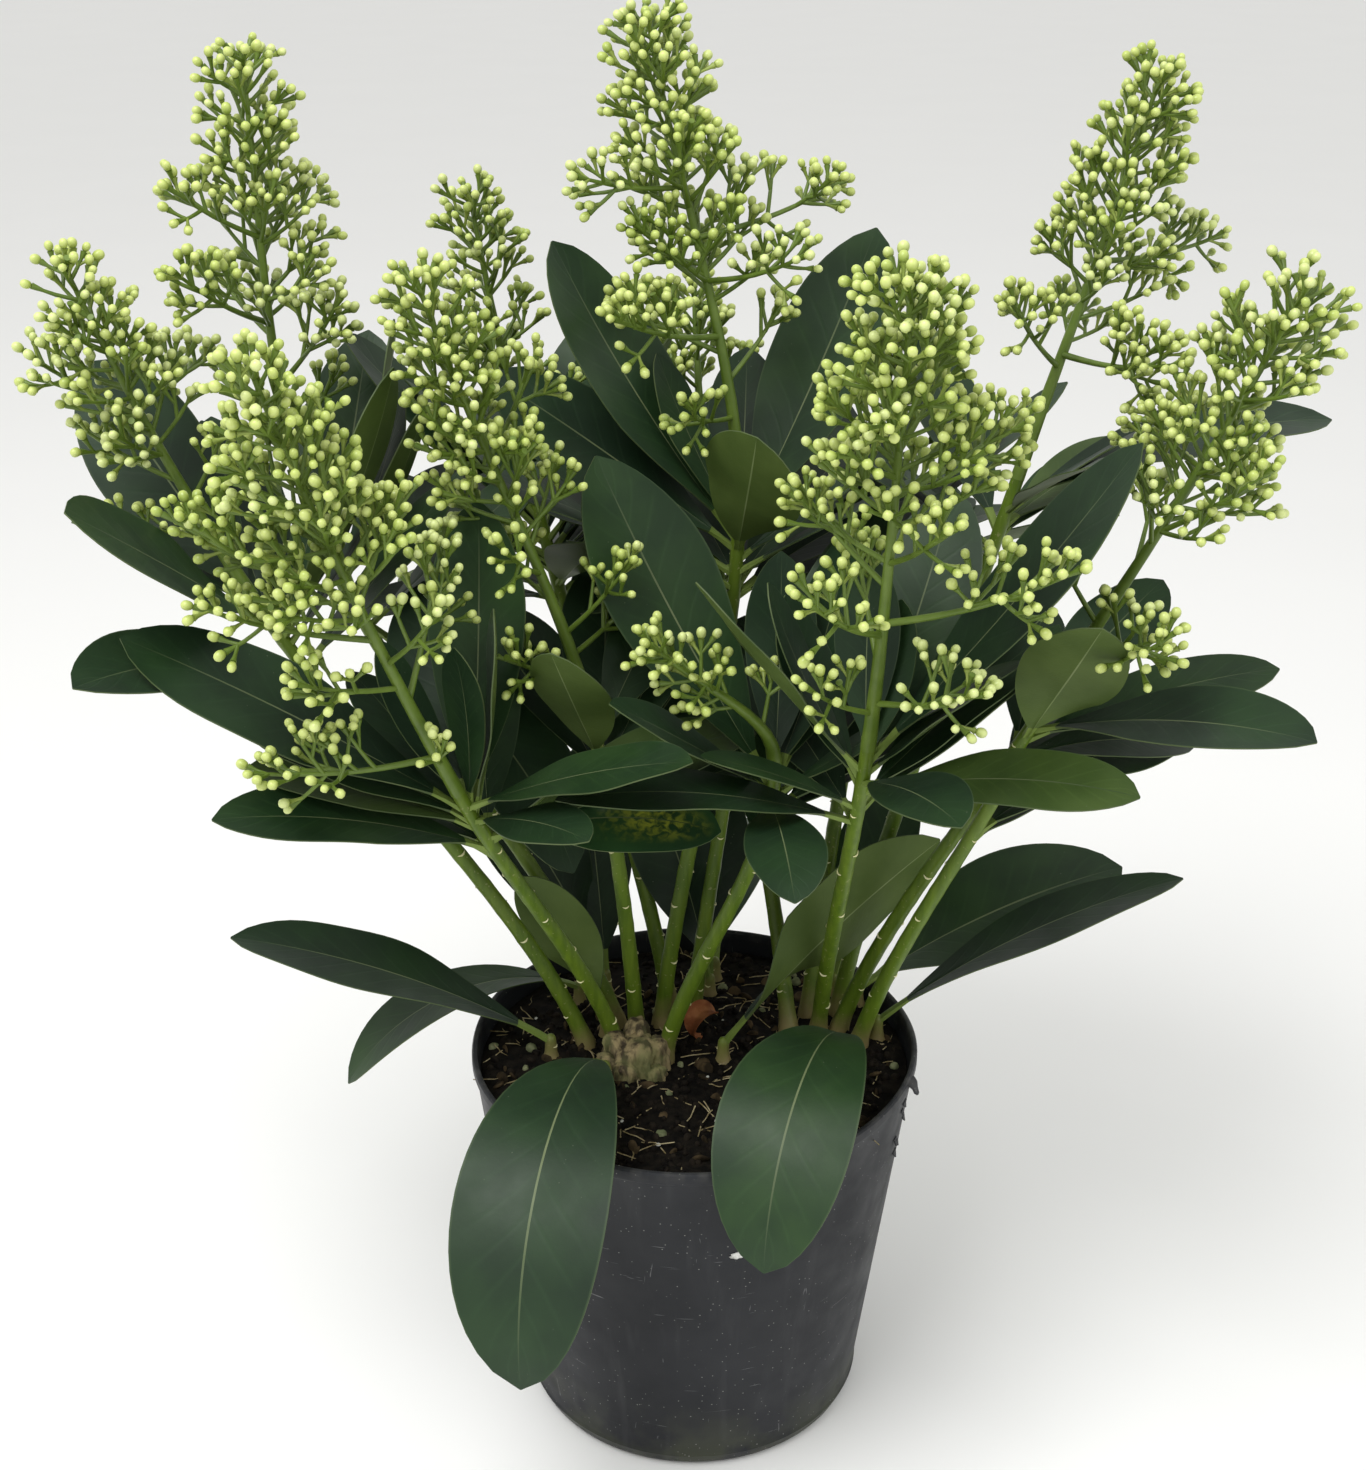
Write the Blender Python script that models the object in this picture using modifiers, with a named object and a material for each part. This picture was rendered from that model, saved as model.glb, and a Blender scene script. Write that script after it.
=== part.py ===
"""A potted skimmia, the whole plant with its nursery pot.

Upright green stems rise from the compost, each ends in a whorl of leathery leaves, and
most carry an open, cone shaped panicle of round buds above the whorl. Metres, +Z up.
The origin is the centre of the pot's flat underside, and -Y is the plant's front.
"""

import math
import random

import bpy
import bmesh
from mathutils import Matrix, Vector
from mathutils.bvhtree import BVHTree

MM = 0.001
GAP = 0.3  # mm, kept between pieces that touch
GOLDEN = 137.5  # degrees round the stem from one leaf or branch to the next

# Pot, mm
POT_HEIGHT = 133.8
POT_TOP_RADIUS = 75.0
POT_BASE_RADIUS = 57.3
POT_WALL = 1.2
POT_FLOOR = 1.6
LIP_DEPTH = 4.6
LIP_BULGE = 1.4
RIDGE_HEIGHT = 5.2
DRAIN_COUNT = 8
DRAIN_RADIUS = 4.5
DRAIN_CIRCLE = 46.0
SEGMENTS = 40

# Compost, mm
SOIL_TOP = 126.0

# Stems, mm
STEM_FOOT_RADIUS = 2.9
STEM_TOP_RADIUS = 2.45
SPREAD = 172.0  # how far from the pot's axis a leaf of the spiral may reach
LEAFY_LENGTH = 42.0  # the leafy end of each stem
RACHIS_RADIUS = 1.9
RACHIS_TIP_RADIUS = 0.9

# Leaves, mm
LEAF_WIDTH = 0.33  # of the length
LEAF_THICK = 1.15
PETIOLE_RADIUS = 1.5
LEAF_OUTLINE = ((0.0, 0.0), (0.12, 0.10), (0.38, 0.78), (0.64, 1.0), (0.86, 0.74))

# Blossom, mm
BRANCH_RADIUS = 0.75
END_SPRAY = 15.0  # the last spray, on the tip of the axis
SIDE_SPRAYS = ((0.76, 22), (0.58, 32), (0.42, 50))  # share of a branch, from a length
HEAD_RADIUS = 6.4
HEAD_LENGTH = 12.5
HEAD_OVERLAP = 3.0  # how far neighbouring heads of one panicle may run into each other

# Each shoot: foot on the compost, top of the leafy stem, tip of the blossom (None where
# the shoot is leafy only), the number of leaves, branches of the panicle and its reach.
SHOOTS = {
    "front_left": ((-25, 3), (-70, -42, 247), (-111, -85, 387), 11, 15, 44),
    "far_left": ((-36, 6), (-136, 5, 291), (-177, -8, 396), 9, 12, 28),
    "back_left": ((-26, 20), (-119, 38, 297), (-131, 36, 448), 9, 14, 34),
    "mid_left": ((-19, 12), (-32, -5, 254), (-77, -20, 394), 9, 14, 34),
    "rear_left": ((-8, 31), (-53, 75, 298), (-72, 82, 401), 10, 9, 26),
    "centre": ((0, 24), (14, 34, 232), None, 9, 0, 0),
    "back_centre": ((-11, 20), (14, 28, 309), (-14, 38, 457), 10, 16, 40),
    "rear_mid": ((33, 17), (5, 105, 292), (0, 128, 360), 10, 8, 28),
    "front_mid": ((-10, -1), (24, -25, 249), (-14, -44, 296), 9, 5, 16),
    "front_right": ((43, 15), (50, -45, 263), (53, -78, 406), 10, 16, 46),
    "rear_right": ((40, 26), (68, 98, 290), (78, 118, 362), 10, 8, 28),
    "back_right": ((50, 26), (104, 48, 315), (139, 52, 441), 10, 15, 36),
    "far_right": ((50, 16), (107, -15, 264), (165, -30, 394), 9, 14, 34),
    "low_right": ((56, 7), (94, -22, 240), None, 7, 0, 0),
}

# The leaves that show best: shoot, mm below the top of the leafy stem, azimuth and rise of
# the leaf's chord in degrees, length in mm, width as a share of the length, and roll in degrees.
# The rest follow the spiral rule.
LEAVES = (
    ("front_left", 10, -176, 31, 112, 0.36, -16),
    ("front_left", 28, -162, 16, 86, 0.34, -12),
    ("front_left", 18, -178, 16, 72, 0.34, -8),
    ("front_left", 8, -22, 20, 76, 0.35, 8),
    ("front_left", 22, -2, 3, 72, 0.35, 14),
    ("front_left", 14, -50, 15, 58, 0.35, 12),
    ("front_left", 8, 103, 34, 84, 0.38, -14),
    ("front_left", 18, 36, 24, 92, 0.33, 6),
    ("far_left", 14, -122, 38, 95, 0.38, -24),
    ("far_left", 26, -126, 22, 88, 0.36, -18),
    ("far_left", 8, 147, 46, 96, 0.35, -12),
    ("back_left", 9, 84, 46, 86, 0.35, 12),
    ("back_left", 14, 50, 15, 76, 0.35, 12),
    ("back_left", 30, -28, -42, 110, 0.35, 12),
    ("mid_left", 9, -118, 60, 68, 0.36, -8),
    ("mid_left", 10, 62, 36, 74, 0.35, 12),
    ("front_mid", 10, 155, 58, 114, 0.34, -26),
    ("front_mid", 13, -155, 32, 66, 0.35, -12),
    ("front_mid", 18, -86, -2, 60, 0.4, 0),
    ("back_centre", 12, 175, 35, 94, 0.35, -26),
    ("back_centre", 9, 162, 60, 108, 0.36, -18),
    ("back_centre", 9, 46, 56, 108, 0.36, 8),
    ("back_centre", 12, -83, 50, 62, 0.35, 12),
    ("back_centre", 20, 158, 15, 78, 0.35, -12),
    ("front_right", 8, 5, 45, 120, 0.31, 8),
    ("front_right", 12, 58, 55, 90, 0.35, 12),
    ("front_right", 16, -70, 14, 66, 0.35, 12),
    ("front_right", 20, -27, 10, 84, 0.34, 14),
    ("far_right", 9, -63, 58, 74, 0.4, -24),
    ("far_right", 12, -41, 13, 92, 0.34, 14),
    ("far_right", 17, -3, 18, 80, 0.35, 12),
    ("far_right", 12, 44, 25, 74, 0.35, 12),
    ("low_right", 8, 19, 7, 68, 0.36, 14),
    ("back_right", 9, 8, 13, 108, 0.32, 10),
    ("back_right", 12, -70, 30, 60, 0.35, 12),
    ("back_right", 18, 35, 16, 68, 0.35, 12),
)

# Branches of the panicles that reach out furthest: shoot, mm above the foot of the panicle,
# azimuth, rise, length.
BRANCHES = (
    ("front_left", 14, -150, 8, 58),
    ("front_left", 42, -128, 20, 42),
    ("front_left", 60, -171, 15, 52),
    ("front_left", 75, 175, 24, 58),
    ("front_left", 12, -85, 28, 26),
    ("front_left", 36, 75, 50, 56),
    ("far_left", 62, -172, 34, 40),
    ("far_left", 40, -172, 34, 36),
    ("far_left", 66, 70, 10, 44),
    ("back_left", 70, -112, 28, 54),
    ("back_left", 50, -24, 50, 42),
    ("back_left", 96, -140, 32, 36),
    ("back_left", 100, 60, 10, 34),
    ("mid_left", 14, -127, 28, 40),
    ("mid_left", 22, 55, 18, 44),
    ("mid_left", 90, 70, 33, 46),
    ("back_centre", 55, -125, 16, 58),
    ("back_centre", 30, -118, 14, 34),
    ("back_centre", 85, 28, 14, 56),
    ("back_centre", 72, -48, 18, 46),
    ("back_centre", 100, -142, 10, 42),
    ("front_right", 40, -120, 28, 54),
    ("front_right", 12, -130, 30, 40),
    ("front_right", 44, -36, 26, 66),
    ("front_right", 16, -52, 22, 48),
    ("front_right", 84, 31, 22, 52),
    ("back_right", 40, -66, 10, 62),
    ("back_right", 70, 28, 4, 52),
    ("back_right", 36, -124, 36, 48),
    ("far_right", 62, -48, 38, 46),
    ("far_right", 26, -78, 16, 52),
    ("far_right", 84, 100, 8, 46),
)

# Low leaves on short stubs at the compost: name, foot, azimuth, rise at the stalk and at the
# tip, how late the bend comes, length, width, roll, in mm and degrees.
LOW_LEAVES = (
    ("low_leaf_front_left", (-29, -16), -104, 48, -92, 0.95, 146, 47, 0),
    ("low_leaf_front_right", (51, -6), -110, 60, -88, 0.95, 124, 43, 0),
    ("low_leaf_left", (-48, 0), -178, 34, 12, 1.0, 112, 29, -8),
    ("low_leaf_rear_left", (-40, 34), -157, 32, -60, 1.0, 96, 26, 0),
    ("low_leaf_right", (63, 12), -1, 42, 18, 1.0, 114, 27, 0),
    ("low_leaf_rear_right", (58, 33), 14, 32, 8, 1.0, 104, 36, 0),
    ("low_leaf_middle", (10, -2), 18, 48, 34, 1.0, 100, 30, -60),
    ("low_leaf_back", (8, 50), 84, 30, -22, 1.2, 96, 36, 0),
)

# Leaves that stand up from the compost among the feet of the stems, in the same values.
STANDING_LEAVES = (
    ("low_leaf_tall_left", (-31, 42), 178, 70, 56, 1.0, 100, 34, -60),
    ("low_leaf_olive", (-30, 12.5), 180, 72, 58, 1.0, 62, 24, 78),
    ("low_leaf_tall_middle", (6, 39), 95, 82, 62, 1.0, 82, 30, 0),
    ("low_leaf_tall_right", (50, 40), 38, 74, 60, 1.0, 78, 27, 30),
)


# A leaf that would touch something is turned, lifted or set lower on its stem, in this order.
NOTICED_SHIFTS = ((0, 0, 0), (0, 4, 0), (0, -4, 0), (4, 0, 0), (-4, 0, 0), (0, -8, 2), (0, 8, 0),
                  (8, 0, 2), (-8, 0, 2), (8, -8, 3), (-8, -8, 3), (8, 8, 0), (-8, 8, 0), (13, 0, 4),
                  (-13, 0, 4), (0, -14, 6), (16, -10, 6), (-16, -10, 6), (0, 14, 0))
SPIRAL_SHIFTS = NOTICED_SHIFTS + ((22, 0, 0), (-22, 0, 0), (28, -12, 4), (-28, -12, 4))


def unit(vector):
    return vector.normalized()


def ground_point(place):
    return Vector((place[0], place[1], SOIL_TOP + GAP))


def heading(azimuth, rise):
    """The direction with this azimuth from +X and this rise above the level, in degrees."""
    a, r = math.radians(azimuth), math.radians(rise)
    return Vector((math.cos(a) * math.cos(r), math.sin(a) * math.cos(r), math.sin(r)))


def heading_of(direction):
    azimuth = math.degrees(math.atan2(direction.y, direction.x))
    return azimuth, math.degrees(math.asin(max(-1.0, min(1.0, direction.z))))


class Line:
    """A cubic curve from its four control points, followed by arc length."""

    def __init__(self, p0, p1, p2, p3, steps=60):
        self.points = []
        for i in range(steps + 1):
            t = i / steps
            s = 1.0 - t
            point = p0 * s**3 + p1 * (3 * s * s * t) + p2 * (3 * s * t * t) + p3 * t**3
            self.points.append(point)
        self.lengths = [0.0]
        for a, b in zip(self.points, self.points[1:]):
            self.lengths.append(self.lengths[-1] + (b - a).length)
        self.length = self.lengths[-1]

    def at(self, distance):
        distance = max(0.0, min(self.length, distance))
        i = 1
        while i < len(self.lengths) - 1 and self.lengths[i] < distance:
            i += 1
        a, b = self.points[i - 1], self.points[i]
        share = (distance - self.lengths[i - 1]) / (self.lengths[i] - self.lengths[i - 1])
        return a.lerp(b, share), unit(b - a)


def stem_line(name):
    """The stem from the compost to the top of its leafy end."""
    foot, collar, tip = SHOOTS[name][:3]
    start, end = ground_point(foot), Vector(collar)
    chord = unit(end - start)
    reach = (end - start).length
    finish = chord if tip is None else unit(chord + 0.6 * unit(Vector(tip) - end))
    rise = unit(0.4 * Vector((0, 0, 1)) + 0.6 * chord)
    return Line(start, start + rise * reach * 0.3, end - finish * reach * 0.32, end)


def rachis_line(name):
    """The panicle's axis, on from the end of the stem."""
    stem = stem_line(name)
    start, finish = stem.at(stem.length)
    tip = Vector(SHOOTS[name][2])
    chord = tip - start
    start = start + finish * GAP
    end_run = unit(unit(chord) + Vector((0, 0, 0.25)))
    reach = chord.length
    return Line(start, start + finish * reach * 0.3, tip - end_run * reach * 0.3, tip)


def around(axis, turn, opening):
    """The direction that opens by an angle from an axis, at a turn round it, in degrees."""
    first = unit(Vector((1, 0, 0)) - axis * axis.x)
    second = axis.cross(first)
    t, o = math.radians(turn), math.radians(opening)
    return axis * math.cos(o) + (first * math.cos(t) + second * math.sin(t)) * math.sin(o)


def leaf_frames(base, azimuth, start, end, power, length, stations):
    """Points, directions and upper normals along a leaf that bends from start to end rise."""
    side = Vector((-math.sin(math.radians(azimuth)), math.cos(math.radians(azimuth)), 0))
    frames, point, steps, here = [], base.copy(), 24, 0
    for i in range(steps + 1):
        share = i / steps
        direction = heading(azimuth, start + (end - start) * share**power)
        while here < len(stations) and stations[here] <= share + 1e-6:
            frames.append((point.copy(), direction, direction.cross(side)))
            here += 1
        point = point + direction * (length / steps)
    while here < len(stations):
        frames.append((point - direction * (length / steps), direction, direction.cross(side)))
        here += 1
    return side, frames


def leaf_shape(leaf, extra=0.0, start_share=0.0):
    """Corner points of a thin blade on its short stalk: rings of three and a tip."""
    base, azimuth, start, end, power, length, width, roll = leaf[:8]
    stations = [s for s, _ in LEAF_OUTLINE] + [1.0]
    side, frames = leaf_frames(base, azimuth, start, end, power, length, stations)
    rings = []
    for (share, wide), (point, direction, normal) in zip(LEAF_OUTLINE, frames):
        if share < start_share:
            continue
        turn = Matrix.Rotation(math.radians(roll) * min(1.0, share * 2.2), 3, direction)
        across, up = turn @ side, turn @ normal
        half = max(PETIOLE_RADIUS, wide * width / 2) + extra
        deep = (PETIOLE_RADIUS if share < 0.2 else LEAF_THICK) + extra
        ring = [point + across * half, point - across * half, point - up * deep]
        if extra:
            ring = [ring[0], point + up * extra, ring[1], ring[2]]
        rings.append(ring)
    point, direction, _ = frames[-1]
    return rings, point + direction * extra


def spindle_shape(base, direction, length, radius, head, extra=0.0, start_share=0.0):
    """A thin stalk that swells to a head of buds and closes: rings of three and a tip."""
    first = direction.orthogonal().normalized()
    second = direction.cross(first)
    neck = max(0.35, 1.0 - HEAD_LENGTH / length)
    profile = [(0.0, radius * 0.6), (neck, radius), (1.0 - 0.42 * (1.0 - neck), head)]
    rings = []
    for share, size in profile:
        if share < start_share:
            continue
        centre = base + direction * (length * share)
        corners = [math.radians(120 * k) for k in range(3)]
        rings.append(
            [centre + (first * math.cos(c) + second * math.sin(c)) * (size + extra) for c in corners]
        )
    return rings, base + direction * (length + extra)


def loft(rings, tip):
    """Points and faces of a closed loft through rings to one tip, its first ring capped."""
    points = [p for ring in rings for p in ring] + [tip]
    n = len(rings[0])
    faces = [tuple(range(n))]
    for r in range(len(rings) - 1):
        for k in range(n):
            a, b = r * n + k, r * n + (k + 1) % n
            faces.append((a, a + n, b + n, b))
    last = (len(rings) - 1) * n
    faces += [(last + k, len(points) - 1, last + (k + 1) % n) for k in range(n)]
    return points, faces


class Space:
    """What already stands in the plant, to keep each new piece clear of it."""

    def __init__(self):
        self.items = []

    def add(self, owner, kind, rings, tip):
        points, faces = loft(rings, tip)
        low = [min(p[i] for p in points) for i in range(3)]
        high = [max(p[i] for p in points) for i in range(3)]
        self.items.append((owner, kind, low, high, BVHTree.FromPolygons(points, faces)))

    def clear(self, owner, full, outer):
        """True where a piece crosses nothing of another owner, and its outer part nothing else.

        A piece is sunk in its owner's limb, so near its foot it may meet its own neighbours.
        """
        for shape, own in ((full, False), (outer, True)):
            points, faces = loft(*shape)
            low = [min(p[i] for p in points) for i in range(3)]
            high = [max(p[i] for p in points) for i in range(3)]
            tree = BVHTree.FromPolygons(points, faces)
            for other_owner, kind, other_low, other_high, other in self.items:
                if (other_owner == owner) != own or kind == ("full" if own else "outer"):
                    continue
                if any(low[i] > other_high[i] or high[i] < other_low[i] for i in range(3)):
                    continue
                if tree.overlap(other):
                    return False
        return True


def tube_rings(line, start, end, start_radius, end_radius, count, sides=6):
    rings = []
    for i in range(count):
        share = i / (count - 1)
        point, direction = line.at(start + (end - start) * share)
        radius = start_radius + (end_radius - start_radius) * share
        first = direction.orthogonal().normalized()
        second = direction.cross(first)
        corners = [2 * math.pi * k / sides for k in range(sides)]
        rings.append([point + (first * math.cos(c) + second * math.sin(c)) * radius for c in corners])
    return rings, line.at(end)[0]


def plan_panicle(name, space, rng):
    """The branches of a panicle: long and apart low down, short and close at the top."""
    count, reach = SHOOTS[name][4:6]
    line = rachis_line(name)
    owner = "blossom_" + name
    end, upward = line.at(line.length - END_SPRAY)
    sprays = [(end, upward, END_SPRAY, BRANCH_RADIUS, HEAD_RADIUS)]
    space.add(owner, "full", *spindle_shape(*sprays[0], 0.1))
    noticed = [row[1:] for row in BRANCHES if row[0] == name]
    rows = []
    for up, azimuth, rise, length in noticed:
        rows.append((up, heading(azimuth, rise), length))
    turn = rng.uniform(0, 360)
    for i in range(count):
        share = 0.2 + 0.76 * (i / count) ** 0.85
        up = share * line.length
        _, axis = line.at(up)
        opening = 62 - 34 * share
        direction = around(axis, turn + GOLDEN * i, opening)
        length = reach * (1.02 - share) ** 0.7 * rng.uniform(0.85, 1.1) + 7
        if any(abs(up - u) < 16 and direction.dot(d) > 0.75 for u, d, _ in rows):
            continue
        rows.append((up, direction, length))
    def place(base, direction, length, head):
        """Adds one spray where it fits."""
        full = spindle_shape(base, direction, length, BRANCH_RADIUS, head, 0.6)
        outer = spindle_shape(base, direction, length, BRANCH_RADIUS, head - HEAD_OVERLAP, 0.2, 0.3)
        if not space.clear(owner, full, outer):
            return False
        sprays.append((base, direction, length, BRANCH_RADIUS, head))
        space.add(owner, "full", *spindle_shape(*sprays[-1], 0.1))
        thin = (base, direction, length, BRANCH_RADIUS, head - HEAD_OVERLAP)
        space.add(owner, "outer", *spindle_shape(*thin, 0.1, 0.4))
        return True

    for up, direction, length in rows:
        base, axis = line.at(up)
        for share in (1.0, 0.86, 0.74, 0.6):
            if length * share > 11 and place(base, direction, length * share, HEAD_RADIUS):
                break
        else:
            continue
        length = length * share
        # Side sprays open from the outer part of a long branch.
        for k, (spot, least) in enumerate(SIDE_SPRAYS):
            if length < least:
                continue
            side = around(direction, (-1) ** k * 90 + rng.uniform(-35, 35), 46)
            stalk = 10 + 0.25 * length * (1 - spot)
            place(base + direction * (length * spot), side, stalk, HEAD_RADIUS * 0.92)
    return line, sprays


def noticed_rows(name):
    return [row[1:] for row in LEAVES if row[0] == name]


def spiral_rows(name, rng):
    """Leaves down the spiral of a shoot, steep at its top and level lower down."""
    count = SHOOTS[name][3]
    line = stem_line(name)
    rows = []
    turn = rng.uniform(0, 360)
    for k in range(count * 2):
        share = (k % count) / count
        drop = 9 + 26 * share
        _, axis = line.at(line.length - drop)
        azimuth, rise = heading_of(around(axis, turn + GOLDEN * k, 40 + 46 * share))
        length = rng.uniform(78, 100) * (1 - 0.12 * abs(share - 0.4))
        away = line.at(line.length)[0] + heading(azimuth, rise) * length
        if Vector((away.x, away.y)).length > SPREAD:
            continue
        if name.startswith("rear") or heading(azimuth, rise).y > -0.25:
            rows.append((drop, azimuth, rise, length))
    return rows


def plan_leaves(name, space, rows, leaves, shifts, rng):
    """Adds each row's leaf to the shoot, turned or lowered a little where it would touch."""
    line = stem_line(name)
    owner = "leaves_" + name
    for drop, azimuth, rise, length, *own in rows:
        apart = shifts is SPIRAL_SHIFTS
        if apart and len(leaves) >= SHOOTS[name][3]:
            break
        way = heading(azimuth, rise)
        if apart and any(abs(leaf[8] - drop) < 12 and leaf[9].dot(way) > 0.86 for leaf in leaves):
            continue
        width = length * LEAF_WIDTH * rng.uniform(0.92, 1.08)
        roll = rng.uniform(-16, 16)
        if own:
            width, roll = length * own[0], own[1]
        for turn_by, lift, lower in shifts:
            lean = rise + lift
            bend = max(-18.0, min(48.0, 36.0 - 0.85 * lean))
            power = 1.3
            start = lean + bend / (power + 1)
            base, axis = line.at(line.length - drop - lower)
            leaf = (base, azimuth + turn_by, start, start - bend, power, length, width, roll)
            if space.clear(owner, leaf_shape(leaf, 0.7), leaf_shape(leaf, 0.5, 0.3)):
                leaves.append((*leaf, drop, heading(azimuth + turn_by, lean)))
                space.add(owner, "full", *leaf_shape(leaf, 0.3))
                space.add(owner, "outer", *leaf_shape(leaf, 0.3, 0.1))
                break


def plan_plant():
    """Where every stem, panicle branch and leaf stands, in mm."""
    space = Space()
    wall = [
        [Vector((r * math.cos(a), r * math.sin(a), z)) for a in [math.radians(15 * k) for k in range(24)]]
        for r, z in ((POT_BASE_RADIUS, 0.0), (POT_TOP_RADIUS + 0.6, POT_HEIGHT + 1.0),
                     (POT_TOP_RADIUS - 3.5, POT_HEIGHT + 1.0), (POT_TOP_RADIUS - 4, SOIL_TOP + 0.6))
    ]
    space.add("pot", "limb", wall, Vector((0, 0, SOIL_TOP + 0.1)))
    for name in SHOOTS:
        line = stem_line(name)
        leafy = line.length - LEAFY_LENGTH
        space.add("stem_" + name, "limb", *tube_rings(line, 1.5, leafy, STEM_FOOT_RADIUS + 0.4, STEM_TOP_RADIUS + 0.5, 8))
        space.add("leaves_" + name, "limb", *tube_rings(line, leafy, line.length, STEM_TOP_RADIUS + 0.4, STEM_TOP_RADIUS, 5))
        if SHOOTS[name][2] is not None:
            rachis = rachis_line(name)
            space.add("blossom_" + name, "limb", *tube_rings(rachis, 0, rachis.length - END_SPRAY, RACHIS_RADIUS + 0.4, 1.2, 8))
    panicles = {}
    for number, name in enumerate(SHOOTS):
        if SHOOTS[name][2] is not None:
            panicles[name] = plan_panicle(name, space, random.Random(100 + number))
    lows = {}
    for name, foot, azimuth, start, end, power, length, width, roll in LOW_LEAVES:
        base = ground_point(foot) + Vector((0, 0, 6.5))
        lows[name] = (base, azimuth, start, end, power, length, width, roll)
        space.add(name, "full", *leaf_shape(lows[name], 0.5))
    masses = {name: [] for name in SHOOTS}
    for number, name in enumerate(SHOOTS):
        rng = random.Random(200 + number)
        plan_leaves(name, space, noticed_rows(name), masses[name], NOTICED_SHIFTS, rng)
    for number, name in enumerate(SHOOTS):
        rng = random.Random(300 + number)
        plan_leaves(name, space, spiral_rows(name, rng), masses[name], SPIRAL_SHIFTS, rng)
    for name, foot, azimuth, start, end, power, length, width, roll in STANDING_LEAVES:
        base = ground_point(foot) + Vector((0, 0, 6.5))
        for turn_by, lift, shorter in NOTICED_SHIFTS:
            leaf = (base, azimuth + turn_by, start + lift, end + lift, power, length - 2 * shorter, width, roll)
            if space.clear(name, leaf_shape(leaf, 0.7), leaf_shape(leaf, 0.5, 0.3)):
                lows[name] = leaf
                space.add(name, "full", *leaf_shape(leaf, 0.3))
                break
    return panicles, masses, lows


def material(name, colour, roughness, sheen=0.0):
    made = bpy.data.materials.new(name)
    made.use_nodes = True
    surface = made.node_tree.nodes["Principled BSDF"]
    surface.inputs["Base Color"].default_value = (*colour, 1.0)
    surface.inputs["Roughness"].default_value = roughness
    surface.inputs["Metallic"].default_value = 0.0
    surface.inputs["Coat Weight"].default_value = sheen
    return made


def add_object(name, mesh, look, collection):
    made = bpy.data.objects.new(name, mesh)
    mesh.materials.clear()
    mesh.materials.append(look)
    collection.objects.link(made)
    return made


def mesh_of(name, points, faces):
    mesh = bpy.data.meshes.new(name)
    mesh.from_pydata([tuple(p * MM) for p in points], [], faces)
    shape = bmesh.new()
    shape.from_mesh(mesh)
    bmesh.ops.recalc_face_normals(shape, faces=shape.faces)
    shape.to_mesh(mesh)
    shape.free()
    return mesh


def tube(name, line, start, end, start_radius, end_radius, count, look, collection, sides=1, level=False):
    """A tapered limb as a bevelled curve with filled caps; level gives it a flat foot cut."""
    data = bpy.data.curves.new(name, "CURVE")
    data.dimensions = "3D"
    data.bevel_depth = MM
    data.bevel_resolution = sides
    data.use_fill_caps = True
    spline = data.splines.new("POLY")
    short = 1.0 / (end - start)  # 1 mm runs at the ends square the caps to the line
    shares = [0.0] + [short + (1 - 2 * short) * i / (count - 1) for i in range(count)] + [1.0]
    places = [line.at(start + (end - start) * s)[0] for s in shares]
    sizes = [start_radius + (end_radius - start_radius) * s for s in shares]
    if level:
        places[1] = places[0] + Vector((0, 0, 1.5))
    spline.points.add(len(places) - 1)
    for point, place, size in zip(spline.points, places, sizes):
        point.co = (*(place * MM), 1.0)
        point.radius = size
    made = bpy.data.objects.new(name, data)
    data.materials.append(look)
    collection.objects.link(made)
    return made


def as_mesh(curve, collection):
    """The curve object made a mesh, its caps welded on."""
    bpy.context.view_layer.update()
    graph = bpy.context.evaluated_depsgraph_get()
    mesh = bpy.data.meshes.new_from_object(curve.evaluated_get(graph))
    shape = bmesh.new()
    shape.from_mesh(mesh)
    bmesh.ops.remove_doubles(shape, verts=shape.verts, dist=0.000001)
    bmesh.ops.recalc_face_normals(shape, faces=shape.faces)
    shape.to_mesh(mesh)
    shape.free()
    name, look, matrix = curve.name, curve.data.materials[0], curve.matrix_world.copy()
    old = curve.data
    bpy.data.objects.remove(curve)
    bpy.data.curves.remove(old)
    made = add_object(name, mesh, look, collection)
    made.matrix_world = matrix
    return made


def one_body(mesh):
    """Keeps the largest closed body: drops loose scraps and fills sealed hollows."""
    shape = bmesh.new()
    shape.from_mesh(mesh)
    bmesh.ops.triangulate(shape, faces=shape.faces)
    seen, bodies = set(), []
    for first in shape.faces:
        if first in seen:
            continue
        body, edge = [], [first]
        seen.add(first)
        while edge:
            face = edge.pop()
            body.append(face)
            for side in face.edges:
                for other in side.link_faces:
                    if other not in seen:
                        seen.add(other)
                        edge.append(other)
        volume = sum(f.verts[0].co.dot(f.verts[1].co.cross(f.verts[2].co)) for f in body) / 6
        bodies.append((volume, body))
    bodies.sort(key=lambda item: -item[0])
    for _, body in bodies[1:]:
        bmesh.ops.delete(shape, geom=body, context="FACES")
    shape.to_mesh(mesh)
    shape.free()


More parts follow.
